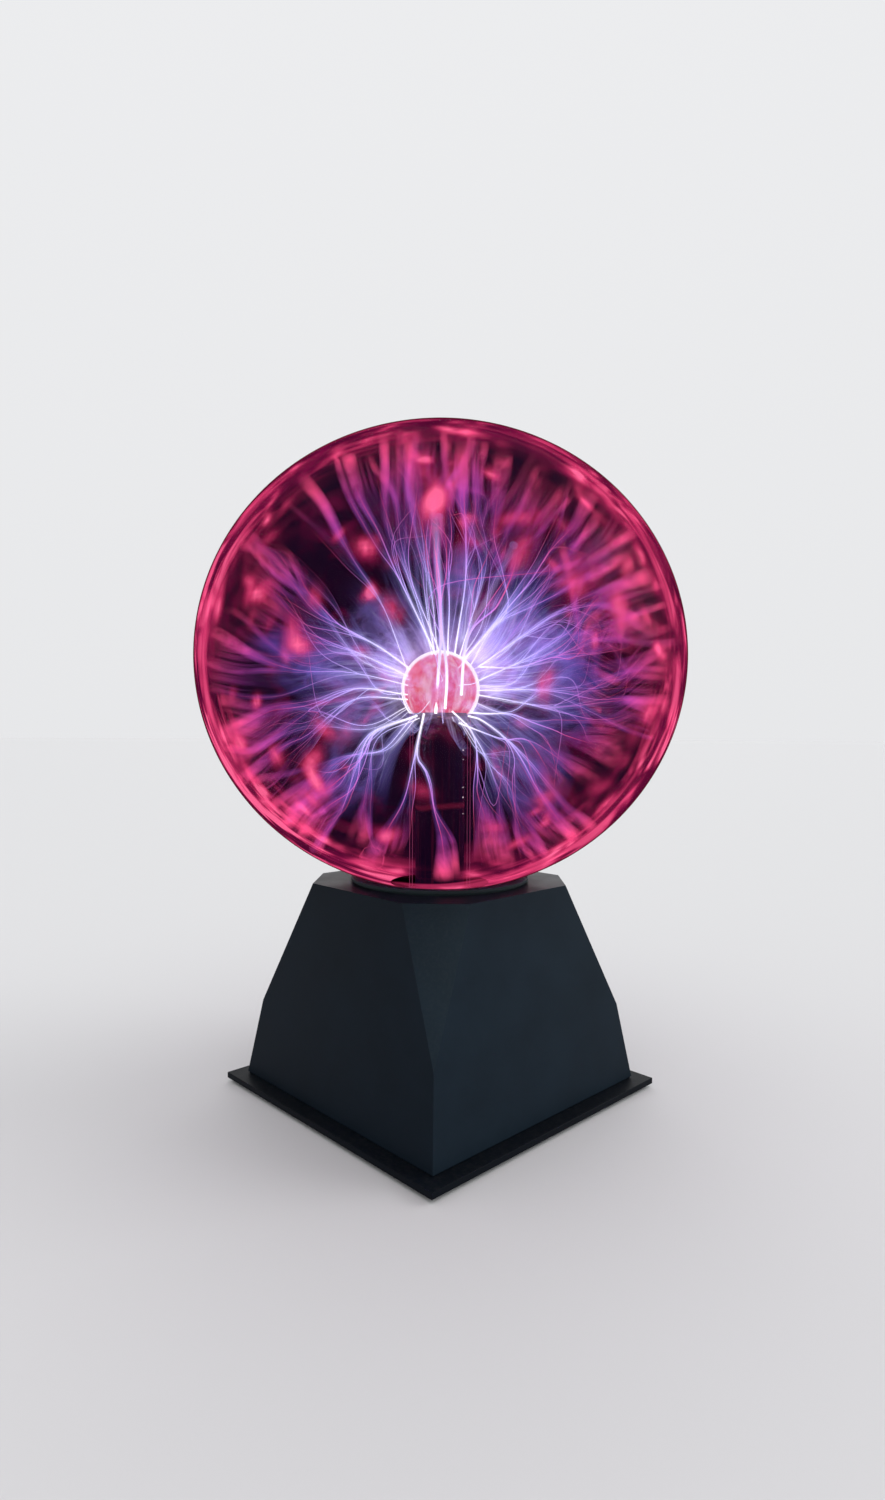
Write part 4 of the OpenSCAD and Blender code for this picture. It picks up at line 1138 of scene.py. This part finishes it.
def wall_pattern(tree):
    """The glow on the wall: (feet, faint clouds, streaks that follow the rim)."""
    place = object_coordinates(tree)
    wisps = noise(tree, place, 40.0, 5.0, 0.6, 0.8)
    torn = noise(tree, stretched(tree, place, (80.0, 80.0, 38.0)), 1.0, 3.0, 0.55, 0.7)
    foot = times(tree, attribute(tree, "foot"), remap(tree, torn, 0.3, 0.62, 0.65, 1.2))
    foot = calc(tree, "POWER", times(tree, foot, 0.95, clamp=True), 1.5)
    cloud = times(tree, fade(tree, wisps, 0.47, 0.70), remap(tree, torn, 0.35, 0.65, 0.3, 1.0))
    slide = put(tree, "ShaderNodeCombineXYZ", {0: times(tree, facing(tree), 9.0)}).outputs[0]
    along_rim = vector_math(tree, "ADD", stretched(tree, place, (16.0, 16.0, 16.0)), slide).outputs[0]
    streaks = fade(tree, noise(tree, along_rim, 1.0, 3.0, 0.6, 0.3), 0.40, 0.60)
    patches = fade(tree, noise(tree, place, 24.0, 3.0, 0.55, 0.5), 0.42, 0.56, 0.10, 1.25)
    level = times(tree, attribute(tree, "rim"), patches)
    return foot, cloud, times(tree, streaks, level)


def lining_material():
    """The far wall of the gas: a painted dark sheet in place of the unlit inside of the globe, with clouds,
    feet and a bright band along the rim. From outside it is clear."""
    look = settings("plasma_globe")
    material, shader, tree = dark_shader("gas_wall_painted_dark")
    foot, cloud, streaks = wall_pattern(tree)
    turned = facing(tree)
    inner = fade(tree, turned, 0.34, 0.62)
    band = fade(tree, turned, 0.56, 0.72)
    clouded = plus(tree, times(tree, cloud, 0.6), times(tree, band, 0.4), clamp=True)
    rim = plus(tree, times(tree, band, 0.95), times(tree, inner, 0.30))
    glow = plus(tree, foot, times(tree, rim, streaks), clamp=True)
    tint = ramp(tree, glow, [(0.0, look.foot_faint), (0.55, look.foot), (1.0, look.foot_pale)])
    # Painted dark behind the gas, clouded by the gas's own faint glow, with the feet on top.
    tint = blend(tree, glow, blend(tree, clouded, look.dark, look.cloud), tint)
    # Painted dark outline along the silhouette, where the wall is seen edge-on.
    tint = blend(tree, fade(tree, turned, 0.87, 0.94), tint, look.edge)
    feed(tree, shader.inputs["Emission Color"], tint)
    clear = put(tree, "ShaderNodeBsdfTransparent")
    behind = put(tree, "ShaderNodeNewGeometry").outputs["Backfacing"]
    mixed = put(tree, "ShaderNodeMixShader", {0: behind, 1: shader.outputs[0], 2: clear.outputs[0]})
    feed(tree, tree.nodes["Material Output"].inputs["Surface"], mixed.outputs[0])
    material.use_backface_culling = True
    material.diffuse_color = (0.1, 0.02, 0.06, 1.0)
    return material


def feet_material():
    """The glow of the feet on the near wall, clear between them."""
    look = settings("plasma_globe")

    def strength(tree):
        foot, _, streaks = wall_pattern(tree)
        band = fade(tree, facing(tree), 0.55, 0.75)
        return plus(tree, foot, times(tree, band, streaks, 0.6), clamp=True)

    def emission(tree):
        return ramp(tree, strength(tree),
                    [(0.0, look.foot_faint), (0.5, look.foot), (1.0, look.foot_pale)])

    def alpha(tree):
        return times(tree, strength(tree), 0.85, fade(tree, facing(tree), 0.86, 0.95, 1.0, 0.0))

    return glow_material("foot_glow", emission, alpha, 1.25)


def bulb_glow_material():
    """The bright skin of gas on the electrode's bulb: streaked and patchy, with a white rim."""
    material, shader, tree = dark_shader("bulb_skin", rough=0.5)
    place = object_coordinates(tree)
    streaks = noise(tree, stretched(tree, place, (330.0, 330.0, 45.0)), 1.0, 3.0, 0.6, 0.3)
    patch = noise(tree, place, 60.0, 2.0, 0.5)
    fill = blend(tree, remap(tree, streaks, 0.42, 0.64), (0.84, 0.07, 0.17), (0.95, 0.42, 0.55))
    fill = blend(tree, remap(tree, patch, 0.50, 0.62), fill, (0.88, 0.06, 0.07))
    rim = fade(tree, facing(tree), 0.54, 0.68)
    feed(tree, shader.inputs["Emission Color"], blend(tree, rim, fill, (1.2, 1.1, 1.2)))
    feed(tree, shader.inputs["Alpha"], plus(tree, 0.90, rim, clamp=True))
    return material


def sleeve_material():
    """Dark, glossy sleeve with painted reflections of the discharge: upright streaks and one red ring."""
    material, shader, tree = dark_shader("sleeve_gloss_painted_reflection", (0.004, 0.002, 0.006), 0.2, 0.25)
    place = object_coordinates(tree)
    streaks = noise(tree, stretched(tree, place, (700.0, 700.0, 6.0)), 1.0, 3.0, 0.6)
    bend = times(tree, less(tree, noise(tree, place, 45.0, 2.0), 0.5), 0.006)
    off = plus(tree, less(tree, height_of(tree, place), (GLOBE_Z + RING_UP) * MM), bend)
    ring = fade(tree, calc(tree, "ABSOLUTE", off), 0.0, 0.0018, 1.0, 0.0)
    # Painted reflection of the discharge: the streaks and the ring glow in the sleeve's own colour.
    glow = plus(tree, times(tree, remap(tree, streaks, 0.52, 0.72), 0.12), times(tree, ring, 0.22))
    feed(tree, shader.inputs["Emission Color"],
         blend(tree, glow, (0.006, 0.0015, 0.010), (0.42, 0.02, 0.07)))
    material.diffuse_color = (0.01, 0.005, 0.015, 1.0)
    return material


def stem_glass_material():
    """The stem's glass: clear, with a faint painted pink glow along its edges, where it is seen edge-on."""
    def edge(tree):
        return fade(tree, facing(tree), 0.72, 0.97)

    def emission(tree):
        return blend(tree, edge(tree), BLACK, (0.62, 0.10, 0.26))

    def alpha(tree):
        return plus(tree, 0.03, times(tree, edge(tree), 0.30))

    return glow_material("stem_glass_clear", emission, alpha, rough=0.04, specular=0.2)


def glint_mesh(view):
    """Painted glints: small glowing beads in a line down the stem, in place of reflections."""
    ways = [Vector(v) for v in ((0, 0, 1), (1, 0, 0), (0, 1, 0), (-1, 0, 0), (0, -1, 0), (0, 0, -1))]
    verts, faces = [], []
    for up, size in GLINTS:
        middle, start = Vector(view.spot(GLINT_ACROSS, up, GLINT_TOWARD)), len(verts)
        verts += [(middle + way * size) * MM for way in ways]
        for j in range(4):
            n = (j + 1) % 4
            faces += [(start, start + 1 + j, start + 1 + n), (start + 5, start + 1 + n, start + 1 + j)]
    glow = glow_material("painted_glint_glow", lambda tree: (1.0, 0.8, 0.9, 1.0), lambda tree: 0.8)
    return add_object("stem_painted_glints", verts, faces, glow)


def glass_material():
    """Clear glass with weak reflections and a thin dark edge."""
    look = settings("plasma_globe")
    material, shader = new_material("globe_glass_clear")
    tree = material.node_tree
    smear = remap(tree, noise(tree, object_coordinates(tree), 30.0, 5.0, 0.6, 0.5), 0.55, 0.8)
    shader.inputs["Base Color"].default_value = (0.02, 0.002, 0.012, 1)
    shader.inputs["Specular IOR Level"].default_value = look.gloss
    feed(tree, shader.inputs["Roughness"], remap(tree, smear, 0.0, 1.0, 0.02, 0.14))
    clear = remap(tree, facing(tree), 0.2, 0.8, 0.10, 0.004)
    feed(tree, shader.inputs["Alpha"], times(tree, clear, remap(tree, smear, 0.0, 1.0, 0.8, 1.2)))
    material.diffuse_color = (0.9, 0.35, 0.6, 0.3)
    return material


# ---- operators ----

# The floor's half side in metres and its cells along a side.
FLOOR_HALF = 60.0
FLOOR_CELLS = 24

# Soft, distant lights: where they shine from, how wide they look in degrees, and how strong they are.
SUNS = (("light_right", (0.58, 0.73, 0.42), 40, 0.9),
        ("light_top", (0.15, 0.1, 1.5), 90, 0.6),
        ("light_back", (-0.8, 0.9, 0.7), 60, 0.5))

# Soft, cool lamps for the housing only: where they stand, what they aim at, and how strong they are.
BASE_LAMPS = (("light_base_right", (0.15, 0.02, 0.24), (0.04, 0.0, 0.08), 0.60),
              ("light_base_front", (0.26, -0.14, 0.20), (0.04, -0.03, 0.08), 0.42))
BASE_LAMP_SIZE = 0.10


class PLASMA_OT_stage(bpy.types.Operator):
    """Builds the floor, the lights, the world and the camera"""
    bl_idname = "plasma.stage"
    bl_label = "Stage"

    def execute(self, context):
        stage, scene = settings("plasma_stage"), bpy.context.scene
        scene.view_settings.view_transform = "Standard"
        scene.view_settings.look = "None"
        scene.cycles.transparent_max_bounces = 128
        scene.cycles.max_bounces = 12
        self.floor(stage)
        self.camera(stage, scene)
        self.lights()
        self.world(scene)
        return {"FINISHED"}

    def floor(self, stage):
        """A wide sheet of pale paper."""
        line = np.linspace(-FLOOR_HALF, FLOOR_HALF, FLOOR_CELLS + 1)
        verts = [(x, y, 0.0) for y in line for x in line]
        faces = grid_faces(0, FLOOR_CELLS + 1, FLOOR_CELLS)
        material, shader = new_material("floor_paper")
        tree = material.node_tree
        fibre = noise(tree, object_coordinates(tree), 900.0, 3.0)
        feed(tree, shader.inputs["Roughness"], remap(tree, fibre, 0.3, 0.7, 0.82, 0.95))
        shader.inputs["Base Color"].default_value = (*stage.floor, 1.0)
        shader.inputs["Specular IOR Level"].default_value = 0.2
        add_object("floor", verts, faces, material, smooth=False)

    def camera(self, stage, scene):
        """Aims at the object's axis, with a slight roll."""
        r, back = math.radians(stage.roll), Vector(way_back(stage))
        right = (-back).cross(Vector((0, 0, 1))).normalized()
        up = right.cross(-back)
        turned_right = right * math.cos(r) + up * math.sin(r)
        turned_up = up * math.cos(r) - right * math.sin(r)
        data = bpy.data.cameras.new("camera")
        data.lens = stage.lens
        data.sensor_width = 36.0
        data.shift_x = stage.shift
        data.clip_start = 0.01
        data.clip_end = 200.0
        made = bpy.data.objects.new("camera", data)
        scene.collection.objects.link(made)
        turn = Matrix((turned_right, turned_up, back)).transposed().to_4x4()
        turn.translation = Vector((0, 0, stage.aim)) + back * stage.distance
        made.matrix_world = turn
        scene.camera = made

    def lights(self):
        """Distant, so that the floor is lit alike all the way out."""
        for name, place, spread, power in SUNS:
            data = bpy.data.lights.new(name, "SUN")
            data.angle = math.radians(spread)
            data.energy = power
            place_object(name, data).rotation_euler = facing_way(-Vector(place))

    def world(self, scene):
        """A pale sky, a little brighter overhead."""
        world = bpy.data.worlds.new("studio")
        world.use_nodes = True
        tree = world.node_tree
        height = height_of(tree, put(tree, "ShaderNodeTexCoord").outputs["Generated"])
        sky = ramp(tree, height, [(0.0, (0.80, 0.805, 0.82)), (1.0, (0.86, 0.865, 0.88))])
        feed(tree, tree.nodes["Background"].inputs["Color"], sky)
        scene.world = world


class PLASMA_OT_globe(bpy.types.Operator):
    """Builds the glass globe"""
    bl_idname = "plasma.globe"
    bl_label = "Globe"

    def execute(self, context):
        outside, inside = ([(neck, NECK_Z)] + dome(rw, rh, GLOBE_Z, -math.acos(neck / rw), 120)
                           for rw, rh, neck in ((GLOBE_RW, GLOBE_RH, NECK_R),
                                                (GLOBE_RW - GLASS_T, GLOBE_RH - GLASS_T, NECK_R - GLASS_T)))
        globe = lathe("globe", outside + inside[::-1], 192, glass_material(), closed=True)
        ride(globe, replaces=("globe_glass",))
        return {"FINISHED"}


class PLASMA_OT_discharge(bpy.types.Operator):
    """Builds the discharge: filaments, halos, curtains, the glow on the bulb and the glow on the wall"""
    bl_idname = "plasma.discharge"
    bl_label = "Discharge"

    def execute(self, context):
        look = settings("plasma_discharge")
        gas = Discharge()
        made = [tubes("filaments", gas.cores, core_material(), 5, look.core_radius, core_thickness),
                tubes("halos", gas.halos, halo_material(), 9, look.halo_radius, halo_thickness),
                curtain_mesh(gas.curtains, curtain_material()), haze_mesh(gas.view, haze_material())]
        walls = [wall_mesh("gas_wall_painted_dark", LINING_INSET, lining_material(), True),
                 wall_mesh("foot_glows", FEET_INSET, feet_material(), False)]
        for wall in walls:
            add_values(wall, {"foot": foot_values(wall, gas.feet, look.foot_radius / MM),
                              "rim": rim_values(wall, gas.view)})
        radius = BULB_R + SKIN_GAP
        skin = dome(radius, radius, BULB_Z, -math.acos((STEM_R + STEM_GAP) / radius), 48)
        bulb = lathe("bulb_glow", skin, 96, bulb_glow_material())
        for piece in (*made, *walls, bulb, glint_mesh(gas.view)):
            ride(piece)
        return {"FINISHED"}


class PLASMA_OT_electrode(bpy.types.Operator):
    """Finishes the stem, the sleeve and what is inside them"""
    bl_idname = "plasma.electrode"
    bl_label = "Electrode"

    def execute(self, context):
        dress(sleeve_material(), "stem_sleeve")
        dress(stem_glass_material(), "stem_glass", "fill_tip")
        dress(metal("wool_steel", (0.45, 0.43, 0.42), 0.4), "electrode_wool")
        dress(metal("contact_brass", (0.75, 0.52, 0.22), 0.3), "electrode_contact")
        dress(plastic("plug_rubber", (0.02, 0.02, 0.02), 0.8, 0.0007, 0.00005, 0.0), "stem_plug")
        dress(plastic("lead_silicone", (0.45, 0.04, 0.03), 0.5, 0.0008, 0.00002, 0.0), "high_voltage_lead")
        return {"FINISHED"}


def facing_way(way):
    """The turn that makes a light shine in a direction."""
    return way.to_track_quat("-Z", "Y").to_euler()


def moulded_copy(node, name, material, edge):
    """A copy of a CAD node with its loose triangles joined, flat faces merged and edges rounded."""
    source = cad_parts[node]
    mesh = source.data.copy()
    shape = bmesh.new()
    shape.from_mesh(mesh)
    bmesh.ops.transform(shape, matrix=source.matrix_world, verts=shape.verts)
    bmesh.ops.remove_doubles(shape, verts=shape.verts, dist=0.00002)
    bmesh.ops.dissolve_limit(shape, angle_limit=math.radians(0.6), verts=shape.verts, edges=shape.edges)
    shape.to_mesh(mesh)
    shape.free()
    mesh.materials.clear()
    mesh.materials.append(material)
    made = place_object(name, mesh)
    bevel = made.modifiers.new("edges", "BEVEL")
    bevel.width = edge
    bevel.segments = 2
    bevel.limit_method = "ANGLE"
    bevel.angle_limit = 0.5
    return finished(made, name)


class PLASMA_OT_base(bpy.types.Operator):
    """Finishes the housing, the base plate, the collar and the feet"""
    bl_idname = "plasma.base"
    bl_label = "Base"

    def execute(self, context):
        look = settings("plasma_base")
        body = plastic("housing_satin", look.plastic, 0.40, 0.0007, 0.00003, 0.12, specular=0.045)
        housing = moulded_copy("housing", "housing_shell", body, look.edge)
        ride(housing, replaces=("housing",))
        for lamp in BASE_LAMPS:
            base_light(housing, *lamp)
        flange = plastic("flange_satin", look.flange, 0.5, 0.0007, 0.00004, 0.06, specular=0.06)
        plate = moulded_copy("base_plate", "base_plate_shell", flange, look.edge)
        ride(plate, replaces=("base_plate",))
        dress(plastic("collar_satin", look.collar, 0.5, 0.0007, 0.00003, 0.12, specular=0.08), "collar_ring")
        rubber = plastic("black_rubber", (0.012, 0.012, 0.012), 0.85, 0.0009, 0.00006, 0.1)
        dress(rubber, "globe_gasket", "feet", "microphone_sleeve")
        dress(plastic("clamp_plastic", (0.03, 0.03, 0.035), 0.5), "clamp_ring")
        dress(plastic("silicone_bead", (0.6, 0.6, 0.58), 0.4, 0.002, 0.0002, 0.0), "neck_adhesive")
        return {"FINISHED"}


def base_light(lit, name, place, aim, power):
    """A soft, cool lamp close to the base that lights one piece only."""
    data = bpy.data.lights.new(name, "AREA")
    data.size = BASE_LAMP_SIZE
    data.energy = power
    data.color = (0.78, 0.96, 0.88)
    made = place_object(name, data)
    made.location = place
    made.rotation_euler = facing_way(Vector(aim) - Vector(place))
    made.visible_camera = False
    receivers = bpy.data.collections.new(name + "_lit")
    receivers.objects.link(lit)
    made.light_linking.receiver_collection = receivers


class PLASMA_OT_controls(bpy.types.Operator):
    """Finishes the inlet, the switch and the microphone"""
    bl_idname = "plasma.controls"
    bl_label = "Controls"

    def execute(self, context):
        nickel = metal("nickel_plate", (0.66, 0.63, 0.58), 0.25)
        dress(plastic("jack_plastic", (0.010, 0.010, 0.011), 0.4, 0.0006), "jack_body")
        dress(nickel, "jack_pin", "jack_spring", "switch_contact", "switch_terminals")
        dress(metal("switch_steel", (0.55, 0.55, 0.56), 0.35, (1.0, 1.0, 8.0)), "switch_frame")
        dress(plastic("phenolic_board", (0.16, 0.07, 0.03), 0.6), "switch_base")
        dress(plastic("slider_plastic", (0.030, 0.030, 0.032), 0.4, 0.0006, 0.00003), "switch_slider")
        dress(metal("microphone_can", (0.62, 0.62, 0.63), 0.3), "microphone")
        dress(metal("tinned_wire", (0.7, 0.7, 0.72), 0.35), "microphone_leads")
        return {"FINISHED"}


class PLASMA_OT_electronics(bpy.types.Operator):
    """Finishes the circuit board and the parts on it"""
    bl_idname = "plasma.electronics"
    bl_label = "Electronics"

    def execute(self, context):
        dress(plastic("board_laminate", (0.32, 0.22, 0.09), 0.5, 0.0004), "circuit_board")
        dress(plastic("ferrite", (0.05, 0.05, 0.055), 0.55, 0.0005, 0.00006), "transformer_core")
        dress(plastic("potting_resin", (0.02, 0.02, 0.022), 0.35, 0.002, 0.0001), "high_voltage_coil")
        dress(plastic("bobbin_plastic", (0.7, 0.68, 0.6), 0.45), "primary_bobbin")
        dress(metal("enamelled_copper", (0.6, 0.23, 0.09), 0.25), "primary_winding")
        black = plastic("component_black", (0.02, 0.02, 0.022), 0.5, 0.0004)
        dress(black, "power_transistor", "diodes", "control_chip")
        dress(metal("heat_sink_aluminium", (0.7, 0.71, 0.72), 0.4, (1.0, 1.0, 0.05)), "heat_sink")
        dress(plastic("capacitor_sleeve", (0.02, 0.03, 0.12), 0.3, 0.0008), "electrolytic_capacitors")
        dress(plastic("capacitor_epoxy", (0.42, 0.13, 0.03), 0.4, 0.0015), "film_capacitors")
        dress(plastic("resistor_lacquer", (0.55, 0.40, 0.22), 0.45, 0.0012), "resistors")
        return {"FINISHED"}


class PLASMA_OT_fasteners(bpy.types.Operator):
    """Finishes the screws"""
    bl_idname = "plasma.fasteners"
    bl_label = "Fasteners"

    def execute(self, context):
        steel = metal("screw_steel", (0.6, 0.6, 0.61), 0.3)
        dress(steel, "base_screws", "clamp_screws", "board_screws", "transistor_screw")
        return {"FINISHED"}


class PLASMA_OT_label(bpy.types.Operator):
    """Finishes the blank rating label"""
    bl_idname = "plasma.label"
    bl_label = "Label"

    def execute(self, context):
        dress(plastic("label_film", (0.55, 0.55, 0.56), 0.35, 0.003, 0.00001, 0.0), "rating_label")
        return {"FINISHED"}


OPERATORS = [PLASMA_OT_stage, PLASMA_OT_globe, PLASMA_OT_discharge, PLASMA_OT_electrode, PLASMA_OT_base,
             PLASMA_OT_controls, PLASMA_OT_electronics, PLASMA_OT_fasteners, PLASMA_OT_label]


class PLASMA_PT_panel(bpy.types.Panel):
    """Shows the settings and the buttons that build the plasma ball"""
    bl_idname = "PLASMA_PT_panel"
    bl_label = "Plasma ball"
    bl_space_type = "VIEW_3D"
    bl_region_type = "UI"
    bl_category = "Plasma ball"

    def draw(self, context):
        for name, group in SETTINGS.items():
            box = self.layout.box()
            for key in group.__annotations__:
                box.prop(getattr(context.scene, name), key)
        for operator in OPERATORS:
            self.layout.operator(operator.bl_idname)


def register():
    """Makes the settings, the operators and the panel known to Blender."""
    for name, group in SETTINGS.items():
        bpy.utils.register_class(group)
        setattr(bpy.types.Scene, name, bpy.props.PointerProperty(type=group))
    for operator in OPERATORS:
        bpy.utils.register_class(operator)
    bpy.utils.register_class(PLASMA_PT_panel)


def unregister():
    """Takes them away again, last first."""
    bpy.utils.unregister_class(PLASMA_PT_panel)
    for operator in reversed(OPERATORS):
        bpy.utils.unregister_class(operator)
    for name, group in SETTINGS.items():
        delattr(bpy.types.Scene, name)
        bpy.utils.unregister_class(group)


def main():
    """Builds everything in order."""
    register()
    for operator in OPERATORS:
        group, name = operator.bl_idname.split(".")
        getattr(getattr(bpy.ops, group), name)()
    bpy.context.view_layer.update()


if __name__ == "__main__":
    main()
